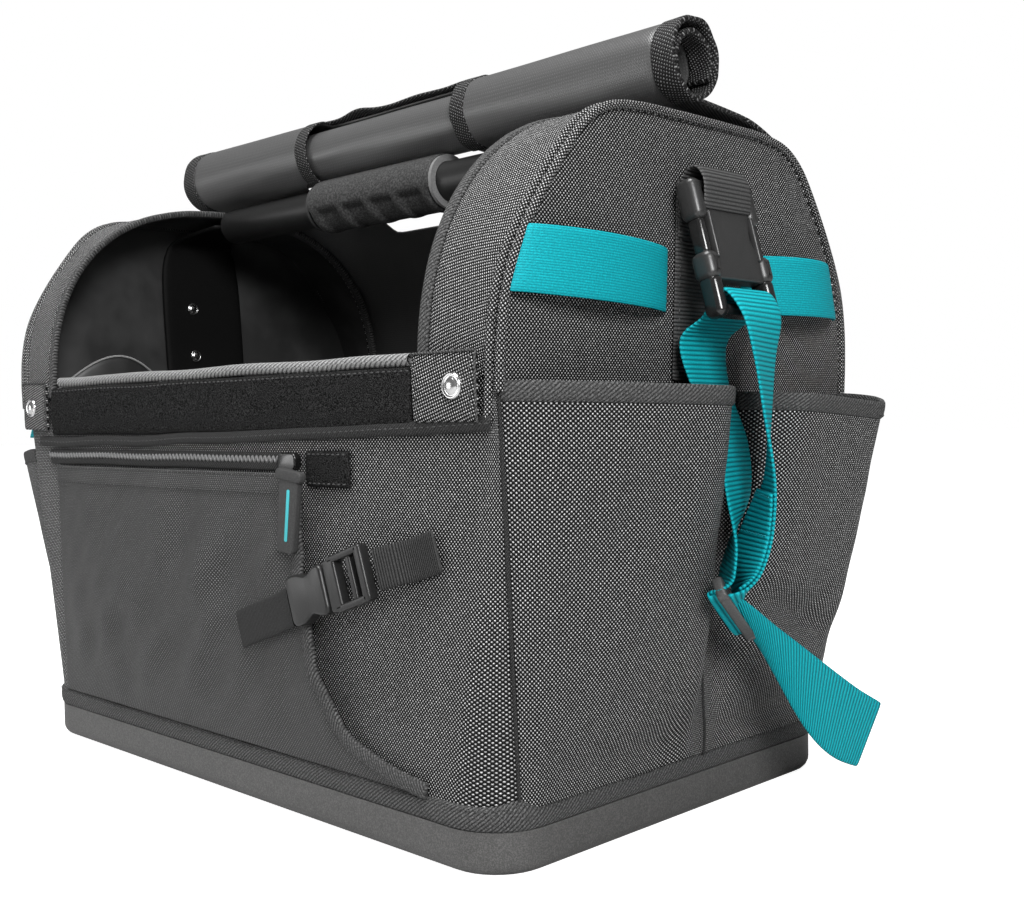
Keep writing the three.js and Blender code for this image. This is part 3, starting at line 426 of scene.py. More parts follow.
ends = [("right", 1), ("left", -1)]
arch_spring, arch_start, half_depth = 0.222, 0.2288, 0.1372
seam_lap, pad_edge, pad_high, welt_radius = 0.0022, 0.02, 0.0012, 0.0023
lap_share, lap_out, lap_drop, band_past, band_swell = 0.03, 0.0008, 0.008, 0.0010, 0.0012
band_width = {"right": 0.050, "left": 0.037}
band_arch = {"right": (0.1335, 0.132, 0.1355, 2.25), "left": (0.132, 0.1385, 0.1315, 2.5)}
dome_half = [
    (half_depth, arch_start),
    (0.136, 0.246),
    (0.1328, 0.263),
    (0.127, 0.2785),
    (0.1146, 0.2996),
    (0.0979, 0.3223),
    (0.0856, 0.3356),
    (0.070, 0.3442),
    (0.048, 0.3471),
    (0.025, 0.3475),
]
dome_rows = [(-y, z) for y, z in dome_half] + [(0, 0.3476)] + dome_half[::-1]


def dome_point(v, out=0.0):
    y, z = along_curve(dome_rows, v)
    return y * (1 + out / 0.137), z + out * share(0.23, 0.34, z)


def arch_point(v, front, back, rise, power, out=0.0):
    start = math.asin(((arch_start - arch_spring) / rise) ** (power / 2))
    angle = mix(start, math.pi - start, v)
    y, z = (math.copysign(abs(w) ** (2 / power), w) for w in (math.cos(angle), math.sin(angle)))
    return -((front if v < 0.5 else back) + out) * y, arch_spring + (rise + out) * z


def rod(name, path, radius, sides, stuff, slot):
    """A round cord of cloth along a path of points."""
    last = len(path) - 1
    ways = [(path[min(k + 1, last)] - path[max(k - 1, 0)]).normalized() for k in range(last + 1)]
    side = ways[0].orthogonal().normalized()
    frames = []
    for ahead in ways:
        side = (side - ahead * side.dot(ahead)).normalized()
        frames.append((side, side.cross(ahead)))

    def at(u, v):
        k = round(v * last)
        side, up = frames[k]
        turn = 2 * math.pi * u
        return path[k] + radius * (math.cos(turn) * side - math.sin(turn) * up)

    return cloth(name, sides, last, at, 0, stuff, slot, ring=True)


# Band cloth: the same near-black weave, with a painted highlight on the warp crowns.
band_cloth = woven("band cloth", grey(0.003), grey(0.95), 0.00105, 0.5, 0.0006, **cloth_shine)
for end, side in ends:
    band_from = end_x(end, arch_spring) - band_width[end]

    def end_panel_at(u, v):
        y, top_z = dome_point(u)
        z = mix(wall_foot, top_z, v)
        seam = -front_y(z) - corner_radius(z) + seam_lap
        y *= min(1.0, seam / half_depth) if z < wall_top else 1.0
        edge = min(1.0, (top_z - z) / pad_edge, (half_depth - abs(y)) / pad_edge)
        pad = pad_high * math.sqrt(max(0.0, edge)) + uneven(0.3, y, z, 0.06, 0.0009)
        return turned(side, end_x(end, z) + pad, y, z)

    def band_point(u, v, inset, out):
        lap = max(0.0, lap_share - v, v - 1 + lap_share) / lap_share
        t = share(lap_share, 1 - lap_share, v)
        outer_y, outer_z = dome_point(t, out + lap_out * lap)
        inner_y, inner_z = arch_point(t, *band_arch[end], out + lap_out * lap)
        x = mix(band_from + inset, end_x(end, outer_z) + band_past, u)
        return x, mix(inner_y, outer_y, u), mix(inner_z, outer_z, u) - lap_drop * lap

    def band_at(u, v):
        return turned(side, *band_point(u, v, 0.0, band_swell * math.sin(math.pi * u) ** 0.5))

    def arch_binding_at(u, v):
        fold = math.sin(math.pi * min(1.0, u + 0.15)) ** 0.5
        x, y, z = band_point(0.0, v, mix(-0.0064, 0.0006, u), 0.0014 * fold)
        return turned(side, x, y, z + uneven(x, y, z, 0.01, 0.0003))

    def welt_path(inset, more):
        points = [dome_point(k / 96, 0.0006) for k in range(97)]
        points = [(points[0][0], arch_start - 0.002 * k) for k in range(more, 0, -1)] + points
        points += [(points[-1][0], arch_start - 0.002 * k) for k in range(1, more + 1)]
        return [turned(side, end_x(end, z) + inset, y, z) for y, z in points]

    cloth(
        f"end_panel_cloth_{end}", 64, 40, end_panel_at, wall_thick, [body_cloth, lining], "cloth",
        f"end_panel_{end}", lined=True, plan=lambda p: (p.y, p.z), held="stretched",
        rests_on=["front_wall_cloth", "back_wall_cloth", "base_tray"],
    )
    cloth(
        f"arch_band_cloth_{end}", 8, 72, band_at, wall_thick, [band_cloth, lining], "cloth",
        f"arch_band_{end}", lined=True, held="stretched", rests_on=[f"end_panel_cloth_{end}"],
    )
    cloth(
        f"arch_binding_tape_{end}", 4, 96, arch_binding_at, 0.0042, twill_tape, "tape", f"arch_binding_{end}",
    )
    stitches(f"arch_binding_stitches_{end}", lambda t: arch_binding_at(0.78, t))
    rod(f"panel_welt_{end}", welt_path(0.0013, 7), welt_radius, 8, body_cloth, "cloth")
    rod(f"band_welt_{end}", welt_path(-0.0052, 13), welt_radius, 8, body_cloth, "cloth")


# Bellows pockets on both ends: one panel of the body cloth, sewn round the corners and down along a
# valley, and flaring to a rim that is bound with wide twill tape. A row holds where a point starts at
# the foot, and where it ends and how far it stands out at the rim.
pocket_rows = [
    (-half_depth, -half_depth, 0.0000),
    (-0.118, -0.118, 0.0130),
    (-0.090, -0.088, 0.0260),
    (-0.060, -0.058, 0.0340),
    (-0.032, -0.032, 0.0380),
    (-0.008, -0.021, 0.0360),
    (0.000, -0.017, 0.0290),
    (0.005, -0.021, 0.0160),
    (0.009, -0.025, 0.0050),
    (0.012, -0.021, 0.0003),
    (0.016, 0.024, 0.0003),
    (0.019, 0.028, 0.0060),
    (0.025, 0.033, 0.0240),
    (0.040, 0.044, 0.0350),
    (0.064, 0.066, 0.0380),
    (0.092, 0.094, 0.0380),
    (0.116, 0.118, 0.0370),
    (0.127, 0.128, 0.0300),
    (0.132, 0.134, 0.0140),
    (half_depth, half_depth, 0.0000),
]
pocket_foot, pocket_flare, pocket_tuck, pocket_tape, pocket_thick = 0.0316, 0.046, 0.0202, 0.0098, 0.0016
sewn_share, sewn_off, pocket_off = 0.03, 0.0004, 0.0024
crease_from, crease_to, crease_middle, crease_z, crease_slope = 0.02, 0.12, 0.055, 0.102, 0.35
crease_half, crease_deep = 0.009, 0.009
pocket_rim = {"right": 0.217, "left": 0.190}
pocket_swell = {"right": 1.0, "left": 1.25}
for end, side in ends:

    def pocket_at(u, below_rim, proud):
        foot_y, rim_y, rim_out = along_curve(pocket_rows, u)
        rim_z = pocket_rim[end] + 0.003 * share(-0.02, -half_depth, rim_y)
        rim_z += 0.006 * share(0.121, half_depth, rim_y) - 0.008 * share(0.0, 0.118, rim_y)
        z = below_rim(rim_z)
        flare = share(pocket_flare, rim_z, z) ** 0.6
        tuck = mix(pocket_tuck, 0.0, share(wall_foot, wall_top, z))
        y = mix(foot_y, rim_y, flare) * (1 - tuck / half_depth)
        radius = corner_radius(z)
        corner_y = -front_y(z) - radius
        turn = math.asin(min(0.75, share(0.0, radius, abs(y) - corner_y)))
        free = min(1.0, u / sewn_share, (1 - u) / sewn_share)
        reach = radius + mix(sewn_off, pocket_off, free) + proud
        swell = flare * max(0.0, rim_out) * pocket_swell[end]
        full = min(1.0, swell / 0.012) * share(0.0, 0.025, rim_z - z + 0.004)
        swell += full * (uneven(0.0, y, z, 0.042, 0.0022) + uneven(5.0, y * 2.2, z, 0.02, 0.0008))
        if crease_from < y < crease_to:
            crease = math.exp(-(((z - crease_z + crease_slope * (y - crease_middle)) / crease_half) ** 2))
            swell -= crease_deep * full * crease * math.sin(math.pi * share(crease_from, crease_to, y))
        if turn > 0:
            y = math.copysign(corner_y + reach * math.sin(turn), y)
        return turned(side, end_x(end, z) + reach * math.cos(turn) - radius + swell, y, z)

    def pocket_cloth_at(u, v):
        return pocket_at(u, lambda rim: mix(pocket_foot - 0.002, rim - pocket_tape + 0.003, v), 0.0)

    def pocket_tape_at(u, v):
        fold = 0.0009 + 0.0006 * math.sin(math.pi * v)
        return pocket_at(u, lambda rim: mix(rim - pocket_tape, rim, v), fold)

    columns = 8 * (len(pocket_rows) - 1)
    cloth(
        f"end_pocket_cloth_{end}", columns, 26, pocket_cloth_at, pocket_thick, body_cloth, "cloth",
        f"end_pockets_{end}", held="gathered",
        rests_on=[f"end_panel_cloth_{end}", "front_wall_cloth", "back_wall_cloth"],
    )
    cloth(
        f"end_pocket_tape_{end}", columns, 4, pocket_tape_at, 0.0032, twill_tape, "tape",
        f"pocket_binding_{end}",
    )
    stitches(f"end_pocket_stitches_{end}", lambda t: pocket_tape_at(t, 0.2))
    # Thin dark cords along the pocket's front edge, valley and rear edge: they lie on the seams, and their
    # darkness is painted shade along them.
    for where, u in [("front", 0.0), ("middle", 0.5), ("rear", 1.0)]:
        sewn_line = [pocket_cloth_at(u, k / 40) for k in range(41)]
        rod(f"end_pocket_seam_shade_{where}_{end}", sewn_line, 0.0011, 6, dark_tape, "tape")


# Elastic loops: flat teal elastic, sewn into the dome's seam and beside the middle webbing, so that
# each stands off the panel as a loop. A row holds the sewn ends, the stand-off, the bow's fullness and
# how much higher the outer end is sewn.
teal_dark, teal_light = (0.0, 0.13, 0.16, 1), (0.002, 0.34, 0.39, 1)
teal_shine = {"roughness": 0.7, "specular_ior_level": 0.15}
teal_elastic = ribbed(
    "teal elastic", teal_dark, teal_light, 0.0012, math.pi / 2, 0.0002, fuzz=0.5, fullness=0.5, **teal_shine
)
elastic_high, elastic_thick, elastic_slant, elastic_rise, elastic_gap = 0.0308, 0.0012, 0.011, 0.001, 0.0008
elastic_foot = {"right": 0.2542, "left": 0.194}
elastic_rows = [
    ("right", 1, "front", -0.027, -0.1365, 0.012, 0.6, 0.0034),
    ("right", 1, "rear", 0.034, 0.124, 0.017, 0.6, 0.0),
    ("left", -1, "front", -0.034, -0.133, 0.026, 0.25, 0.0),
    ("left", -1, "rear", 0.027, 0.124, 0.016, 0.6, 0.0),
]
for end, side, where, inner, outer, bulge, bow, tilt in elastic_rows:
    inner, outer = side * inner, side * outer

    def elastic_at(u, v):
        t = u if outer > inner else 1 - u
        y = mix(inner, outer - math.copysign(elastic_slant, outer) * v, t)
        z = elastic_foot[end] + elastic_high * v + elastic_rise * (1 - v) * t**3 + tilt * (t - 0.5)
        stand = bulge * math.sin(math.pi * min(max(t, 0.0), 1.0)) ** bow
        return turned(side, end_x(end, z) + elastic_thick + elastic_gap + stand, y, z)

    cloth(
        f"elastic_loop_{where}_{end}", 48, 6, elastic_at, elastic_thick, teal_elastic, "teal",
        f"elastic_{where}_{end}", held="stretched", rests_on=[f"end_panel_cloth_{end}"],
    )
    sewn = 0.035 if outer > inner else 0.965
    stitches(f"elastic_stitches_{where}_{end}", lambda t: elastic_at(sewn, mix(0.05, 0.95, t)))


# Middle webbing: heavy black webbing sewn up the middle of each end above the pockets.
# On the right end it carries the release buckle.
black_webbing = ribbed(
    "black webbing", grey(0.003), grey(0.07), 0.0019, math.pi / 2, 0.0007, **dark_shine
)
strap_width, strap_y, strap_top, webbing_thick, webbing_gap = 0.039, -0.002, 0.318, 0.0018, 0.0014
for end, side in ends:

    def middle_at(u, v):
        z = mix(pocket_rim[end] + 0.003, strap_top, v)
        x = end_x(end, z) + webbing_thick + webbing_gap
        return turned(side, x, strap_y + (u - 0.5) * strap_width, z)

    node = f"centre_strap_{end}"
    cloth(f"middle_webbing_{end}", 6, 24, middle_at, webbing_thick, black_webbing, "webbing", node)
    for k, u in enumerate((0.09, 0.91), start=1):
        stitches(f"middle_webbing_stitches_{end}_{k}", lambda t: middle_at(u, mix(0.02, 0.98, t)))


# Handle brackets: bent plastic plates riveted inside the domes, which carry the ends of the tube.
# Their steel rivets have low round heads.
black_plastic = grained("black plastic", grey(0.016), grey(0.030), 2500.0, 0.00008, roughness=0.34)
matte_plastic = grained(
    "matte plastic", grey(0.004), grey(0.006), 2500.0, 0.00006, roughness=0.6, specular_ior_level=0.05
)
steel = material("polished steel", roughness=0.2, metallic=1.0, base_color=grey(0.6))[0]


def rivet(name, middle, out, radius, height, node):
    """A pressed cap: a domed head with a rolled flange, spun round its axis."""
    bm = bmesh.new()
    head = [(0.0, 1.0), (0.38, 0.95), (0.6, 0.72), (0.68, 0.45)]
    flange = [(0.76, 0.44), (0.84, 0.66), (0.93, 0.6), (1.0, 0.25), (1.0, 0.0)]
    line = [bm.verts.new((radius * r, 0.0, height * h)) for r, h in head + flange]
    edges = [bm.edges.new(pair) for pair in zip(line, line[1:])]
    bmesh.ops.spin(
        bm, geom=line + edges, axis=(0, 0, 1), cent=(0, 0, 0), angle=2 * math.pi, steps=28, use_merge=True
    )
    bmesh.ops.remove_doubles(bm, verts=bm.verts, dist=0.00001)
    bmesh.ops.recalc_face_normals(bm, faces=bm.faces)
    stand = Vector((0, 0, 1)).rotation_difference(Vector(out)).to_matrix().to_4x4()
    bmesh.ops.transform(bm, matrix=Matrix.Translation(middle) @ stand, verts=bm.verts)
    return piece(name, bm, steel, "steel", node)


inside, bracket_thick = 0.0064, 0.0034
for end, side in ends:
    band_from = end_x(end, arch_spring) - band_width[end]
    bracket_rows = [
        (end_x(end, 0.232) - inside, 0.033, 0.232),
        (end_x(end, 0.300) - inside, 0.033, 0.300),
        (end_x(end, 0.326) - inside - 0.001, 0.030, 0.326),
        (end_x(end, 0.326) - inside - 0.007, 0.024, 0.336),
        (band_from - 0.0076, 0.016, 0.342),
    ]

    def bracket_at(u, v):
        x, half, z = along_curve(bracket_rows, v)
        return turned(side, x, mix(half, -half, u), z)

    node = f"handle_bracket_{end}"
    cloth(f"bracket_plate_{end}", 8, 24, bracket_at, bracket_thick, matte_plastic, "plastic", node)
    for k in (1, 2):
        low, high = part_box(f"bracket_rivet_{end}_{k}")
        middle = Vector(((low.x, high.x)[side > 0], (low.y + high.y) / 2, (low.z + high.z) / 2))
        rivet(f"bracket_cap_{end}_{k}", middle, (-side, 0, 0), 0.0045, 0.002, f"bracket_rivet_{end}_{k}")


# Handle: a plastic tube between the brackets with a sleeve of grained foam. Four finger dents run
# along the sleeve's lower front, and a rubber ring closes each end, the right one pale.
tube_low, tube_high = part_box("handle_tube")
grip_low, grip_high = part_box("foam_grip")
handle_z, tube_radius = (tube_low.z + tube_high.z) / 2, (tube_high.z - tube_low.z) / 2
tube_paint = grained(
    "tube plastic", grey(0.008), grey(0.012), 900.0, 0.00004, roughness=0.45, specular_ior_level=0.35
)
foam = grained("foam", grey(0.021), grey(0.055), 900.0, 0.0004, roughness=0.9, specular_ior_level=0.2)
ring_rubber = {
    "left": grained("dark rubber", grey(0.014), grey(0.024), 1200.0, 0.00008, roughness=0.7),
    "right": grained("grey rubber", grey(0.12), grey(0.16), 1200.0, 0.00008, roughness=0.55),
}
bm = bmesh.new()
along_x = Matrix.Rotation(math.pi / 2, 4, "Y")
tube_place = Matrix.Translation(((tube_low.x + tube_high.x) / 2, 0, handle_z)) @ along_x
tube_length = tube_high.x - tube_low.x
bmesh.ops.create_cone(
    bm,
    cap_ends=True,
    segments=40,
    radius1=tube_radius,
    radius2=tube_radius,
    depth=tube_length,
    matrix=tube_place,
)
piece("handle_tube_body", bm, tube_paint, "plastic", "handle_tube", sharp=40)
grip_radius, grip_round = 0.0174, 0.004
dent_count, dent_depth, dent_half = 4, 0.0046, 0.0112
dent_top, dent_reach = math.radians(-14), math.radians(104)


def grip_at(u, v):
    x = mix(grip_low.x, grip_high.x, v)
    turn = -2 * math.pi * u
    near_end = min(1.0, min(x - grip_low.x, grip_high.x - x) / grip_round)
    radius = grip_radius - 0.0012 * (1 - math.sqrt(max(0.0, 1 - (1 - near_end) ** 2)))
    pitch = (grip_high.x - grip_low.x - 0.012) / dent_count
    across = abs((x - grip_low.x - 0.006) % pitch - pitch / 2) / dent_half
    down = (dent_top - turn) % (2 * math.pi) / dent_reach
    scoop = share(0.0, 0.14, down) * mix(1.0, 0.4, share(0.14, 0.8, down)) * share(1.0, 0.86, down)
    radius -= dent_depth * share(1.0, 0.8, across) * scoop
    return Vector((x, -radius * math.cos(turn), handle_z + radius * math.sin(turn)))


grip = cloth("foam_sleeve", 60, 96, grip_at, 0.0045, foam, "foam", "foam_grip", ring=True)
for name in ("left", "right"):
    low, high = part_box(f"grip_ring_{name}")
    bm = bmesh.new()
    ring_place = Matrix.Translation(((low.x + high.x) / 2, 0, handle_z)) @ along_x
    bmesh.ops.create_circle(bm, segments=48, radius=tube_radius + 0.0003, matrix=ring_place)
    bmesh.ops.create_circle(bm, segments=48, radius=(high.z - low.z) / 2, matrix=ring_place)
    bmesh.ops.bridge_loops(bm, edges=bm.edges)
    bmesh.ops.solidify(bm, geom=bm.faces, thickness=high.x - low.x)
    bmesh.ops.recalc_face_normals(bm, faces=bm.faces)
    piece(f"grip_end_ring_{name}", bm, ring_rubber[name], "rubber", f"grip_ring_{name}", sharp=40)


# Cover: one sheet of coated cloth, sewn to the back wall, laid up the backs of the domes and rolled
# up on top of them. A hand notch is cut in its middle, and woven tape binds its ends.
coat = {"fuzz": 0.3, "roughness": 0.32}
coated_cloth = woven("coated cloth", grey(0.056), grey(0.098), 0.0012, 0.785, 0.00012, **coat)
cover_foot, cover_half, cover_edge, cover_thick, cover_lift = 0.212, 0.212, 0.0125, 0.0016, 0.0034
cover_arch = (half_depth, half_depth, 0.137, 2.35)
notch_from, notch_to, notch_foot, notch_turns, laid_notch_from = -0.077, 0.065, 0.3375, 0.51, -0.108
roll_y, roll_z, roll_radius, roll_pitch, roll_turns = 0.004, 0.3815, 0.0220, 0.0044, 1.85
rise_rows, roll_rows, cover_columns = 26, 110, 48
cover_rows = rise_rows + roll_rows


def roll_turn(row):
    return roll_turns * (row - rise_rows - 1) / (roll_rows - 1)


def cover_path(row, proud):
    if row < 4:
        z = mix(cover_foot, wall_top - 0.004, row / 4)
        return -front_y(z) + 0.0004 + cover_thick + proud, z
    if row <= rise_rows:
        return arch_point(mix(1.0, 0.585, (row - 4) / (rise_rows - 4)), *cover_arch, cover_lift + proud)
    radius = roll_radius - cover_thick - proud - roll_pitch * roll_turn(row)
    angle = -math.pi / 2 - 2 * math.pi * roll_turn(row)
    return roll_y + radius * math.cos(angle), roll_z + radius * math.sin(angle)


def cover_point(x, row, proud):
    """A point of the cover: its left end hangs a little looser round the roll than its right end."""
    y, z = cover_path(row, proud)
    if row > rise_rows:
        loose = 1 + 0.07 * share(-0.06, -0.2, x) * share(0.8, 0.5, roll_turn(row))
        sag = uneven(x, 3.0, roll_turn(row), 0.09, 0.0014) - 0.0024 * share(0.6, 0.9, roll_turn(row))
        y = roll_y + (y - roll_y) * loose + sag * 0.6
        z = roll_z + (z - roll_z) * loose + sag
    return Vector((x, y, z))


def cover_at(u, v):
    k, row = min(int(u * 3), 2), round(v * cover_rows)
    notch_left = mix(laid_notch_from, notch_from, share(rise_rows - 1, rise_rows + 8, row))
    stops = (cover_half, notch_to, notch_left, -cover_half)
    return cover_point(mix(stops[k], stops[k + 1], u * 3 - k), row, 0.0)


def cover_keeps(i, j):
    middle = cover_columns // 3 <= i < 2 * cover_columns // 3
    low = cover_path(j, 0.0)[1] < notch_foot and j <= rise_rows
    return not middle or low or roll_turn(j) > notch_turns


cloth(
    "rolled_cover", cover_columns, cover_rows, cover_at, cover_thick, coated_cloth, "coated", "cover",
    keeps=cover_keeps, held="folded",
    rests_on=["back_wall_cloth", "arch_band_cloth_right", "arch_band_cloth_left"],
)
woven_tape = woven(
    "woven tape", grey(0.003), grey(0.27), 0.0011, 0.4, 0.0006, roughness=0.6, specular_ior_level=0.2
)
for end, side in ends:

    def cover_edge_at(u, v):
        row = round(v * cover_rows)
        near, far = cover_half - 0.002, cover_half + cover_edge
        x = mix(far, near, u) if side > 0 else mix(-near, -far, u)
        rough = uneven(x, roll_turn(row) * 0.1, 2.0, 0.011, 0.0006)
        return cover_point(x, row, 0.0009) + Vector((0, rough, rough))

    cloth(
        f"cover_end_tape_{end}", 5, cover_rows, cover_edge_at, cover_thick + 0.0016, woven_tape, "tape",
        f"cover_edge_{end}",
    )


# Notch binding: flat strips of the same tape round the cut-out of the cover, down both of its sides
# and along the roll's top, where the right corner stands up a little.
notch_row = rise_rows + 1 + round(notch_turns * (roll_rows - 1) / roll_turns)
strip_wide = 0.0105
notch_sides = [
    ("right", notch_to + strip_wide, notch_to - 0.0015),
    ("left", notch_from + 0.0015, notch_from - strip_wide),
]
for name, from_x, to_x in notch_sides:

    def notch_side_at(u, v):
        x = mix(from_x, to_x, u)
        point = cover_point(x, mix(rise_rows + 2, notch_row + 1, v), -0.0007)
        return point + Vector((uneven(0.0, v, from_x, 0.2, 0.0014), 0, 0))

    cloth(f"notch_side_tape_{name}", 5, 48, notch_side_at, 0.0016, woven_tape, "tape")
    stitched_x = 0.3 if name == "right" else 0.7
    stitches(f"notch_side_stitches_{name}", lambda t: notch_side_at(stitched_x, t))


def notch_top_at(u, v):
    x = mix(notch_to + strip_wide * 0.7, notch_from - strip_wide * 0.7, u)
    flap = 0.0055 * share(notch_from + 0.03, notch_to, x) * v
    hump = 0.0030 * math.exp(-(((x - notch_from - 0.030) / 0.014) ** 2))
    point = cover_point(x, mix(notch_row - 1, notch_row + 7, v), -0.0012)
    return point + Vector((0, -0.3 * flap, flap + hump + uneven(x, 0.0, v * 0.02, 0.025, 0.0008)))


cloth("notch_top_tape", 70, 5, notch_top_at, 0.0022, woven_tape, "tape")


# Top edge of the front: a pale woven binding, a fuzzy loop band for the cover's hook tape, and a
# folded seam tape under it. Folded cloth tabs with rivets end the band on both sides.
rim_low, rim_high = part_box("front_rim")
rim_weave = ribbed("pale rim tape", grey(0.015), grey(0.34), 0.0024, 0.7, 0.0007, fuzz=0.5, roughness=0.8)


def rim_at(u, v):
    x = mix(rim_low.x, rim_high.x, v)
    turn = 2 * math.pi * u
    middle_y, middle_z = (rim_low.y + rim_high.y) / 2, (rim_low.z + rim_high.z) / 2
    half_y, half_z = (rim_high.y - rim_low.y) / 2, (rim_high.z - rim_low.z) / 2 + 0.0005
    wave = uneven(x, 0.0, 0.0, 0.06, 0.0009)
    return Vector((x, middle_y - half_y * math.cos(turn), middle_z + half_z * math.sin(turn) + wave))


cloth("front_rim_tape", 16, 160, rim_at, 0, rim_weave, "rim", "front_rim", ring=True)


def strip_at(low, high, swell, sag=0.0, foot_rise=0.0, top_rise=0.0):
    """A strip on the front wall that fills a solid's box, with a swollen middle. Its right end may rise."""

    def at(u, v):
        x, z = mix(low.x, high.x, u), mix(low.z, high.z, v)
        z += mix(foot_rise, top_rise, v) * share(-0.15, 0.22, x) ** 1.5
        out = -low.y + front_y((low.z + high.z) / 2) - 0.0002 + swell * math.sin(math.pi * v) ** 0.5
        wave = uneven(x, 2.0, 0.0, 0.05, sag)
        return Vector((x, front_y(z) - out + uneven(x, 0.0, z, 0.03, 0.0005), z + wave))

    return at


fuzz_shine = {"roughness": 1.0, "specular_ior_level": 0.05}
fuzz_stuff = grained("loop fuzz", grey(0.002), grey(0.034), 1700.0, 0.0014, **fuzz_shine)
loop_at = strip_at(*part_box("loop_band"), 0.0008, 0.0006, foot_rise=0.004)
tape_low, tape_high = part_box("band_tape")
tape_high.x = 0.2195
seam_at = strip_at(tape_low, tape_high, 0.0016, 0.0012, foot_rise=0.008, top_rise=0.009)
cloth("loop_band_fuzz", 120, 8, loop_at, 0.002, fuzz_stuff, "loop", "loop_band")
cloth("band_seam_tape", 160, 6, seam_at, 0.0016, dark_tape, "tape", "band_tape")
stitches("band_seam_stitches", lambda t: seam_at(t, 0.5))
stitches("loop_band_stitches", lambda t: loop_at(t, 0.93))
for end, side in ends:
    low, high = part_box(f"rivet_tab_{end}")
    tab_at = strip_at(low, high, 0.0006, 0.0008)
    cloth(f"rivet_tab_cloth_{end}", 16, 12, tab_at, 0.0026, band_cloth, "cloth", f"rivet_tab_{end}")
    top_edge, side_edge = [tab_at(k / 12, 1.0) for k in range(13)], [tab_at(1.0, k / 12) for k in range(13)]
    rod(f"rivet_tab_top_cord_{end}", top_edge, 0.0007, 6, twill_tape, "tape")
    rod(f"rivet_tab_side_cord_{end}", side_edge, 0.0007, 6, twill_tape, "tape")
    for k, u in enumerate((0.08, 0.92), start=1):
        stitches(f"rivet_tab_stitches_{end}_{k}", lambda t: tab_at(u, mix(0.04, 0.96, t)))
    low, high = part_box(f"tab_rivet_{end}")
    middle = Vector(((low.x + high.x) / 2, high.y, (low.z + high.z) / 2))
    rivet(f"tab_cap_{end}", middle, (0, -1, 0), 0.006, 0.0026, f"tab_rivet_{end}")


# Zip: a coil zip along the top of the front pocket, with a slider, a rubber puller that carries a plain
# teal stripe, and a square of loop cloth over its end.
zip_low, zip_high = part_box("zip")
zip_at = strip_at(zip_low, zip_high, 0.0002, 0.0006)
cloth("zip_tape", 80, 4, zip_at, 0.0012, dark_tape, "tape", "zip")
coil_stuff = material("zip coil", roughness=0.32, base_color=grey(0.12))[0]
coil_z, coil_pitch = (zip_low.z + zip_high.z) / 2 + 0.001, 0.0019
bm = bmesh.new()
for k in range(int((zip_high.x - zip_low.x) / coil_pitch)):
    x = zip_low.x + (k + 0.5) * coil_pitch
    spot = Matrix.Translation((x, front_y(coil_z) - 0.0022, coil_z + uneven(x, 2.0, 0.0, 0.05, 0.0006)))
    slant = Matrix.Rotation(0.35 if k % 2 else -0.35, 4, "Y")
    shape = Matrix.Diagonal((0.0011, 0.0014, 0.0046, 1.0))
    bmesh.ops.create_icosphere(bm, subdivisions=1, radius=0.5, matrix=spot @ slant @ shape)
piece("zip_coil", bm, coil_stuff, "steel")


def plate(bm, width, height, thick, corner, edge, matrix):
    """A rounded plate standing in the X-Z plane, its corners and rims bevelled, placed by a matrix."""
    made = bmesh.ops.create_cube(bm, size=1.0, matrix=Matrix.Diagonal((width, thick, height, 1.0)))["verts"]
    edges = {e for v in made for e in v.link_edges}
    corners = [e for e in edges if abs(e.verts[0].co.y - e.verts[1].co.y) > thick / 2]
    cut = bmesh.ops.bevel(bm, geom=corners, offset=corner, segments=5, **rounding)
    body = {v for f in cut["faces"] for v in f.verts} | {v for v in made if v.is_valid}
    rims = []
    for edge_line in {e for v in body for e in v.link_edges}:
        level = abs(edge_line.verts[0].co.y - edge_line.verts[1].co.y) < thick / 4
        if level and len({round(f.normal.y) for f in edge_line.link_faces}) > 1:
            rims.append(edge_line)
    cut = bmesh.ops.bevel(bm, geom=rims, offset=edge, segments=3, **rounding)
    body = {v for v in body if v.is_valid} | {v for f in cut["faces"] for v in f.verts}
    bmesh.ops.transform(bm, matrix=matrix, verts=list(body))


def box_matrix(name):
    low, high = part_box(name)
    return Matrix.Translation((low + high) / 2), high - low


bm = bmesh.new()
slider_place, slider_size = box_matrix("zip_slider")
plate(bm, slider_size.x, slider_size.z, slider_size.y, 0.003, 0.0009, slider_place)
slider_enamel = material("slider enamel", roughness=0.22, base_color=grey(0.005))[0]
piece("zip_slider_body", bm, slider_enamel, "plastic", "zip_slider", sharp=40)
puller_place = box_matrix("zip_puller")[0] @ Matrix.Rotation(math.radians(7), 4, "Y")
bm = bmesh.new()
plate(bm, 0.0155, 0.040, 0.004, 0.003, 0.0010, Matrix.Translation((0, 0, -0.002)))
plate(bm, 0.021, 0.0055, 0.0046, 0.0022, 0.0010, Matrix.Translation((0, -0.0004, 0.0168)))
for vert in bm.verts:
    vert.co.x *= mix(0.88, 1.0, share(-0.022, 0.012, vert.co.z))
bmesh.ops.transform(bm, matrix=puller_place, verts=bm.verts)
puller_rubber = grained(
    "puller rubber", grey(0.030), grey(0.044), 1500.0, 0.00008, roughness=0.6, specular_ior_level=0.2
)
piece("zip_puller_body", bm, puller_rubber, "rubber", "zip_puller", sharp=40)
teal_print = material("teal print", roughness=0.6, base_color=(0.03, 0.36, 0.40, 1))[0]
stripe_place = puller_place @ Matrix.Translation((0.0012, -0.0021, -0.003))
bm = bmesh.new()
plate(bm, 0.0022, 0.026, 0.0004, 0.0008, 0.0001, stripe_place)
piece("puller_stripe", bm, teal_print, "teal", sharp=40)
end_tab_at = strip_at(*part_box("zip_end_tab"), 0.0004)
cloth("zip_end_cloth", 14, 10, end_tab_at, 0.002, fuzz_stuff, "loop", "zip_end_tab")
for k, v in enumerate((0.1, 0.9), start=1):
    stitches(f"zip_end_stitches_{k}", lambda t: end_tab_at(mix(0.05, 0.95, t), v))


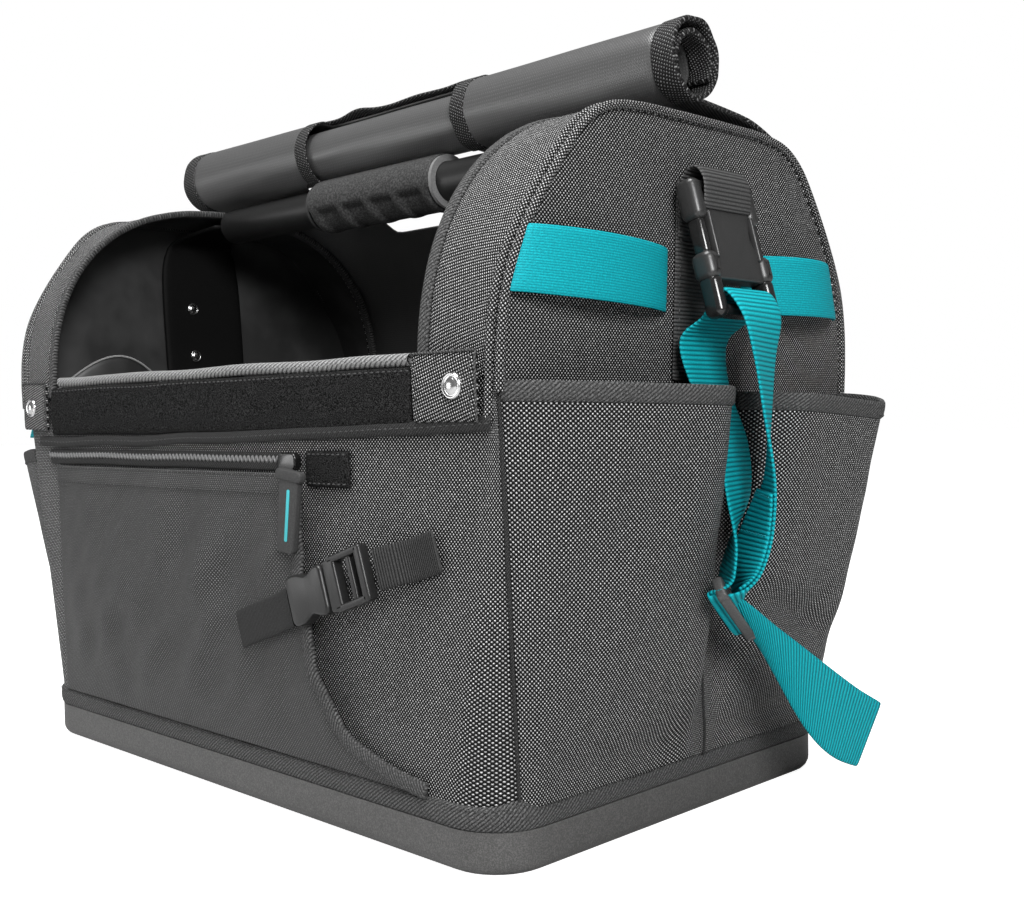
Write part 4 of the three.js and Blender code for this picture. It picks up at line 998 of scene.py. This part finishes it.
# Front pocket: a soft unpadded panel in a darker weave, hemmed under the zip and open along its curved
# right edge, which is bound with stitched tape. It bags out a little in soft folds.
panel_edge = [
    (0.170, 0.0316),
    (0.150, 0.0350),
    (0.134, 0.0390),
    (0.117, 0.0460),
    (0.108, 0.0560),
    (0.101, 0.0720),
    (0.095, 0.0920),
    (0.087, 0.1140),
    (0.082, 0.1360),
    (0.080, 0.1520),
    (0.077, 0.1650),
    (0.071, 0.1730),
    (0.060, 0.1778),
]
panel_from, panel_foot, panel_top, panel_thick = -0.186, 0.0316, 0.1778, 0.0016
hem_foot = 0.1655


def panel_out(u, x, z):
    rise = math.sin(math.pi * share(panel_foot, panel_top, z)) ** 0.7
    swell = math.sin((math.pi / 2) * min(1.0, u * 3))
    fold = uneven(x * 1.6, 7.0, z * 0.7, 0.045, 0.0046) + uneven(x + z, 1.0, 3.0 * (z - x), 0.07, 0.0042)
    out = 0.002 + rise * swell * (mix(0.010, 0.008, share(0.6, 1.0, u)) + fold)
    if z > hem_foot:
        out += 0.0010 * share(hem_foot, hem_foot + 0.0006, z)
    return out


def panel_at(u, v):
    edge_x, z = along_curve(panel_edge, v)
    x = mix(panel_from, edge_x, u)
    return Vector((x, front_y(z) - panel_out(u, x, z), z))


pocket_shine = {"roughness": 0.45, "specular_ior_level": 0.2}
pocket_cloth = woven("pocket cloth", grey(0.020), grey(0.26), 0.00105, 0.0, 0.0005, **pocket_shine)
cloth(
    "front_pocket_cloth", 84, 60, panel_at, panel_thick, pocket_cloth, "cloth", "front_pocket",
    plan=lambda p: (p.x, p.z), held="stretched", rests_on=["front_wall_cloth", "base_binding_tape"],
)


def pocket_edge_at(u, v):
    t = v * 0.84
    here, before, after = (along_curve(panel_edge, s) for s in (t, t - 0.01, t + 0.01))
    ahead = (after - before).normalized()
    step = mix(-0.002, 0.0068, u)
    x, z = here.x + ahead.y * step, here.y - ahead.x * step
    fold = 0.0009 * math.sin(math.pi * min(max(u, 0.0), 1.0)) ** 0.5
    return Vector((x, front_y(z) - panel_out(1.0, here.x, here.y) - 0.0008 - fold, z))


cloth("pocket_edge_tape", 5, 100, pocket_edge_at, 0.0032, twill_tape, "tape", "pocket_edge")
stitches("pocket_edge_stitches", lambda t: pocket_edge_at(0.25, t))
for k, z in enumerate((0.1672, 0.1762), start=1):

    def hem_at(t):
        x = mix(panel_from + 0.003, 0.068, t)
        return Vector((x, front_y(z) - panel_out(share(panel_from, 0.075, x), x, z) - 0.0002, z))

    stitches(f"pocket_hem_stitches_{k}", hem_at, pitch=0.0036, stitch=0.0024)


# Pocket strap: webbing across the pocket's mouth, sewn down at both ends, with a small side-release
# buckle of two plastic halves.
small_shine = {"roughness": 0.7, "specular_ior_level": 0.1}
small_webbing = ribbed("small webbing", grey(0.002), grey(0.045), 0.0013, math.pi / 2, 0.0006, **small_shine)
small_gloss = {"roughness": 0.36, "specular_ior_level": 0.35}
small_plastic = grained("small buckle plastic", grey(0.008), grey(0.014), 2500.0, 0.00008, **small_gloss)
strap_rise, small_width = math.radians(19), 0.020
strap_way = Vector((-math.sin(strap_rise), 0, math.cos(strap_rise)))
low_rows = [(0.041, 0.096, 0.003), (0.058, 0.102, 0.003), (0.076, 0.108, 0.0034), (0.090, 0.113, 0.005)]
high_rows = [(0.153, 0.135, 0.013), (0.161, 0.1378, 0.009), (0.168, 0.140, 0.0026), (0.184, 0.145, 0.0024)]


def low_strap_at(u, v):
    x, z, lift = along_curve(low_rows, v)
    reach = share(panel_from, 0.093, x)
    middle = Vector((x, front_y(z) - panel_out(reach, x, z) - lift, z))
    return middle + strap_way * (u - 0.5) * small_width


def high_strap_at(u, v):
    x, z, out = along_curve(high_rows, v)
    return Vector((x, front_y(z) - out, z)) + strap_way * (u - 0.5) * small_width


for name, node, at, sewn in (
    ("pocket_strap_left_piece", "pocket_strap_low", low_strap_at, 0.12),
    ("pocket_strap_right_piece", "pocket_strap_high", high_strap_at, 0.86),
):
    cloth(
        name, 6, 30, at, webbing_thick, small_webbing, "webbing", node, held="stretched",
        rests_on=["front_pocket_cloth" if sewn < 0.5 else "front_wall_cloth"],
    )
    stitches(f"{name}_stitches", lambda t: at(mix(0.08, 0.92, t), sewn))
buckle_x, buckle_z, buckle_out = 0.121, 0.125, 0.0155
buckle_place = Matrix.Translation((buckle_x, front_y(buckle_z) - buckle_out, buckle_z))
buckle_place = buckle_place @ Matrix.Rotation(-strap_rise, 4, "Y")
bm = bmesh.new()
plate(bm, 0.030, 0.025, 0.008, 0.004, 0.0016, Matrix.Translation((-0.0155, 0, 0)))
long_edges = [e for e in bm.edges if e.calc_length() > 0.015]
bmesh.ops.subdivide_edges(bm, edges=long_edges, cuts=9, use_grid_fill=True)
for vert in bm.verts:
    vert.co.z *= 1 - 0.24 * math.exp(-(((vert.co.x + 0.0135) / 0.0055) ** 2))
bmesh.ops.transform(bm, matrix=buckle_place, verts=bm.verts)
piece("pocket_buckle_left_half", bm, small_plastic, "plastic", "pocket_buckle_receiver", sharp=40)
bm = bmesh.new()
plate(bm, 0.009, 0.0255, 0.006, 0.002, 0.0012, buckle_place @ Matrix.Translation((0.005, 0, 0)))
plate(bm, 0.005, 0.027, 0.006, 0.002, 0.0012, buckle_place @ Matrix.Translation((0.028, 0, 0)))
plate(bm, 0.0035, 0.022, 0.004, 0.0012, 0.0009, buckle_place @ Matrix.Translation((0.0185, 0.0005, 0)))
for z in (-0.0118, 0.0118):
    plate(bm, 0.024, 0.0034, 0.006, 0.0012, 0.0009, buckle_place @ Matrix.Translation((0.0165, 0, z)))
piece("pocket_buckle_right_half", bm, small_plastic, "plastic", "pocket_buckle_plug", sharp=40)


# Release buckle on the right end: a black plastic side-release buckle that hangs from a folded piece
# of webbing. Its glossy prongs show in the windows at its sides.
buckle_tilt, bar_up = math.radians(15), 0.3115
buckle_top = Vector((end_x("right", bar_up) + 0.011, strap_y, bar_up))
buckle_stand = Matrix.Translation(buckle_top) @ Matrix.Rotation(-buckle_tilt, 4, "Y")
buckle_stand = buckle_stand @ Matrix.Rotation(math.pi / 2, 4, "Z")
gloss_plastic = grained("glossy plastic", grey(0.009), grey(0.013), 600.0, 0.00003, roughness=0.16)


def buckle_plate(bm, width, foot, top, thick, corner, edge, across=0.0, out=0.0):
    middle = Matrix.Translation((across, -out, (foot + top) / 2))
    plate(bm, width, top - foot, thick, corner, edge, buckle_stand @ middle)


bm = bmesh.new()
plate(bm, 0.040, 0.044, 0.0085, 0.0030, 0.0016, Matrix.Translation((0, 0, -0.0245)))
long_edges = [e for e in bm.edges if e.calc_length() > 0.02]
bmesh.ops.subdivide_edges(bm, edges=long_edges, cuts=11, use_grid_fill=True)
for vert in bm.verts:
    vert.co.x *= 1 - 0.27 * math.exp(-(((vert.co.z + 0.0235) / 0.0095) ** 2))
bmesh.ops.transform(bm, matrix=buckle_stand, verts=bm.verts)
buckle_plate(bm, 0.049, -0.0015, 0.0035, 0.0090, 0.0020, 0.0018)
for across in (-0.0215, 0.0215):
    buckle_plate(bm, 0.0085, -0.0165, 0.0040, 0.0120, 0.0034, 0.0036, across)
    buckle_plate(bm, 0.0022, -0.0360, -0.0130, 0.0070, 0.0008, 0.0010, across * 0.80, 0.0026)
    buckle_plate(bm, 0.0092, -0.0465, -0.0325, 0.0126, 0.0034, 0.0040, across)
piece("release_buckle_upper", bm, black_plastic, "plastic", "release_buckle_receiver", sharp=50)
bm = bmesh.new()
buckle_plate(bm, 0.049, -0.064, -0.0585, 0.0098, 0.0024, 0.0024)
for across in (-0.0214, 0.0214):
    buckle_plate(bm, 0.0076, -0.0650, -0.0440, 0.0112, 0.0034, 0.0036, across)
    buckle_plate(bm, 0.0056, -0.0345, -0.0150, 0.0086, 0.0026, 0.0026, across)
piece("release_buckle_lower", bm, gloss_plastic, "plastic", "release_buckle_plug", sharp=50)
hanger_rows = [
    (0.0046, 0.2890),
    (0.0046, 0.3050),
    (0.0048, 0.3140),
    (0.0076, 0.3196),
    (0.0110, 0.3214),
    (0.0144, 0.3196),
    (0.0174, 0.3140),
    (0.0180, 0.3015),
]


def hanger_at(u, v):
    out, z = along_curve(hanger_rows, v)
    return Vector((end_x("right", z) + out, strap_y + (u - 0.5) * strap_width, z))


cloth(
    "hanger_webbing", 6, 40, hanger_at, webbing_thick, black_webbing, "webbing", "buckle_hanger",
    held="folded", rests_on=["middle_webbing_right", "release_buckle_upper"],
)


# Teal strap: ribbed webbing looped through the buckle's lower bar, both runs twisting down the valley
# between the pockets to a grey slide. The free end turns out from the slide to the rear. A row of the
# loop holds its middle, how far it is turned in degrees and how much it slants with the slide.
teal_webbing = ribbed(
    "teal webbing", (0.0, 0.09, 0.11, 1), teal_light, 0.0023, math.pi / 2, 0.0008, fuzz=0.25, **teal_shine
)
teal_thread = grained("teal thread", teal_dark, teal_light, 1500.0, 0.0001, roughness=0.6)
bar_down, bar_wrap = -0.061, 0.0094
bar_x = buckle_top.x - bar_down * math.sin(buckle_tilt)
bar_z = buckle_top.z + bar_down * math.cos(buckle_tilt)
slide_axis = Vector((-0.155, 0.790, -0.595)).normalized()
loop_rows = [
    (0.2510, -0.0125, 0.1095, 54, 1.0),
    (0.2482, -0.0148, 0.1085, 54, 1.0),
    (0.2478, -0.0138, 0.1165, 46, 0.4),
    (0.2482, -0.0090, 0.1270, 45, 0.0),
    (0.2475, -0.0020, 0.1430, 38, 0.0),
    (0.2450, 0.0060, 0.1640, 18, 0.0),
    (0.2410, 0.0070, 0.1900, 13, 0.0),
    (0.2360, -0.0035, 0.2170, 8, 0.0),
    (0.2345, -0.0070, 0.2390, 0, 0.0),
    (bar_x - bar_wrap, strap_y, bar_z - 0.003, 0, 0.0),
    (bar_x, strap_y, bar_z + bar_wrap, 0, 0.0),
    (bar_x + bar_wrap, strap_y, bar_z - 0.002, 6, 0.0),
    (bar_x + bar_wrap, strap_y + 0.002, 0.231, 19, 0.0),
    (0.2610, 0.0045, 0.2040, 29, 0.0),
    (0.2605, 0.0065, 0.1720, 41, 0.0),
    (0.2572, 0.0020, 0.1480, 54, 0.0),
    (0.2545, -0.0040, 0.1300, 60, 0.1),
    (0.2535, -0.0070, 0.1160, 62, 0.5),
    (0.2520, -0.0110, 0.1100, 62, 0.8),
]


def strap_loop_at(u, v):
    middle = along_curve([row[:3] for row in loop_rows], v)
    turn, slant = along_curve([(math.radians(row[3]), row[4]) for row in loop_rows], v)
    level = Vector((-math.sin(turn), math.cos(turn), 0))
    way = level.lerp(slide_axis, min(1.0, max(0.0, slant))).normalized()
    return middle + way * (u - 0.5) * strap_width


cloth(
    "teal_strap_loop", 8, 170, strap_loop_at, webbing_thick, teal_webbing, "teal", "strap_loop",
    held="hung", rests_on=["release_buckle_lower", "slide_body"],
)


def sewn_layer_at(u, v):
    t = mix(14.2, 17.2, v) / (len(loop_rows) - 1)
    here, ahead = strap_loop_at(u, t), strap_loop_at(u, t + 0.002) - strap_loop_at(u, t - 0.002)
    across = strap_loop_at(u + 0.1, t) - strap_loop_at(u - 0.1, t)
    return here + across.cross(ahead).normalized() * (webbing_thick + 0.0001)


cloth(
    "teal_strap_sewn_layer", 8, 48, sewn_layer_at, webbing_thick, teal_webbing, "teal", held="hung",
    rests_on=["teal_strap_loop"],
)
for k, v in enumerate((0.03, 0.3), start=1):
    stitches(f"strap_seam_stitches_{k}", lambda t: sewn_layer_at(mix(0.04, 0.96, t), v), stuff=teal_thread)
slide_facing = Vector((0.75, 0.45, 0.40))
slide_up = slide_facing.cross(slide_axis).normalized()
slide_out = slide_axis.cross(slide_up)
slide_turn = Matrix((slide_axis, -slide_out, slide_up)).transposed().to_4x4()
slide_stand = Matrix.Translation((0.2510, -0.0120, 0.1095)) @ slide_turn
slide_rubber = grained("slide rubber", grey(0.035), grey(0.055), 1200.0, 0.00008, roughness=0.45)
bm = bmesh.new()
for up in (-0.0082, 0.0, 0.0082):
    plate(bm, 0.044, 0.0036, 0.005, 0.0014, 0.0012, Matrix.Translation((0, -0.002, up)))
for along in (-0.0205, 0.0205):
    plate(bm, 0.0034, 0.020, 0.005, 0.0014, 0.0012, Matrix.Translation((along, -0.002, 0)))
for vert in bm.verts:
    vert.co.z *= 1 - 0.45 * (vert.co.x / 0.022) ** 2
bmesh.ops.transform(bm, matrix=slide_stand, verts=bm.verts)
piece("slide_body", bm, slide_rubber, "rubber", "strap_slide", sharp=40)
tail_rows = [
    (0.2520, -0.0105, 0.1085),
    (0.2560, -0.0015, 0.1010),
    (0.2610, 0.0190, 0.0800),
    (0.2650, 0.0420, 0.0600),
    (0.2680, 0.0640, 0.0450),
    (0.2700, 0.0850, 0.0350),
]


def strap_tail_at(u, v):
    way = slide_axis.lerp(Vector((0, -0.67, -0.74)), v).normalized()
    return along_curve(tail_rows, v) + way * (u - 0.5) * strap_width


cloth(
    "teal_strap_end", 8, 56, strap_tail_at, webbing_thick, teal_webbing, "teal", "strap_tail", held="hung",
    rests_on=["slide_body"],
)


# Inner pocket: a flat pocket of lining cloth inside the left dome, with a thin pale cord along its
# arched rim.
inner_foot, inner_rim, inner_arch, inner_stand = 0.060, 0.224, 0.027, 0.012


def inner_pocket_at(u, v):
    z = mix(inner_foot, inner_rim + inner_arch * math.sin(math.pi * u), v)
    stand = inner_stand * math.sin(math.pi * u) * v
    y = mix(front_y(z) + corner_radius(z) + 0.013, -0.031, u)
    return Vector((-end_x("left", z) + wall_thick + 0.0024 + stand, y, z))


cloth(
    "inner_pocket_cloth", 24, 24, inner_pocket_at, 0.0016, lining, "cloth", "inner_pocket",
    held="stretched", rests_on=["end_panel_cloth_left"],
)
pale_cord = material("pale piping", roughness=0.6, base_color=grey(0.25))[0]
rod("inner_pocket_piping", [inner_pocket_at(k / 40, 1.0) for k in range(41)], 0.0009, 6, pale_cord, "rim")


# Studio: a white floor and backdrop, a soft key light from the right of the bag, a broad top light and
# a camera that stands where the bag is seen from its front right corner.
bm = bmesh.new()
bmesh.ops.create_circle(bm, cap_ends=True, segments=64, radius=12.0)
floor_mesh = bpy.data.meshes.new("floor")
bm.to_mesh(floor_mesh)
bm.free()
floor = shown("floor", floor_mesh)
floor_light = {"base_color": grey(0.55), "emission_color": grey(1.0)}
floor_paint, floor_tree, floor_shader = material("pale floor", roughness=0.9, **floor_light)
floor_seen = add(floor_tree, "ShaderNodeLightPath").outputs["Is Camera Ray"]
floor_tree.links.new(maths(floor_tree, "MULTIPLY", floor_seen, 0.95), floor_shader["Emission Strength"])
floor_mesh.materials.append(floor_paint)
world = bpy.data.worlds.new("studio")
bpy.context.scene.world = world
world.use_nodes = True
backdrop = world.node_tree.nodes["Background"]
backdrop.inputs["Color"].default_value = (1, 1, 1, 1)
seen = add(world.node_tree, "ShaderNodeLightPath").outputs["Is Camera Ray"]
strength = add(world.node_tree, "ShaderNodeMapRange", {0: seen, 3: 0.22, 4: 1.0}).outputs[0]
world.node_tree.links.new(strength, backdrop.inputs["Strength"])
lamps = [
    ("key", (1.5, -0.9, 0.9), 0.6, 36.0),
    ("top", (0.1, -0.5, 1.8), 0.8, 46.0),
    ("front", (-1.3, -1.5, 0.15), 0.9, 12.0),
]
lamp_target = Vector((0, 0, 0.2))
for name, place, size, power in lamps:
    lamp = bpy.data.lights.new(name, "AREA")
    lamp.size, lamp.energy = size, power
    aim = (lamp_target - Vector(place)).to_track_quat("-Z", "Y")
    shown(name, lamp).matrix_world = Matrix.Translation(place) @ aim.to_matrix().to_4x4()
camera_data = bpy.data.cameras.new("camera")
camera_data.lens, camera_data.sensor_width = 44.544, 36.0
camera = shown("camera", camera_data)
camera_place = (0.603867, -0.51292, 0.204134)
azimuth, pitch, roll = (math.radians(d) for d in (44.869, 1.43, -0.917))
right = Vector((math.cos(azimuth), math.sin(azimuth), 0))
ahead = Vector((-right.y * math.cos(pitch), right.x * math.cos(pitch), -math.sin(pitch)))
over = right.cross(ahead)
roll_cos, roll_sin = math.cos(roll), math.sin(roll)
right, over = right * roll_cos + over * roll_sin, over * roll_cos - right * roll_sin
camera_turn = Matrix((right, over, -ahead)).transposed().to_4x4()
camera.matrix_world = Matrix.Translation(camera_place) @ camera_turn
bpy.context.scene.camera = camera
bpy.context.scene.view_settings.view_transform = "Standard"
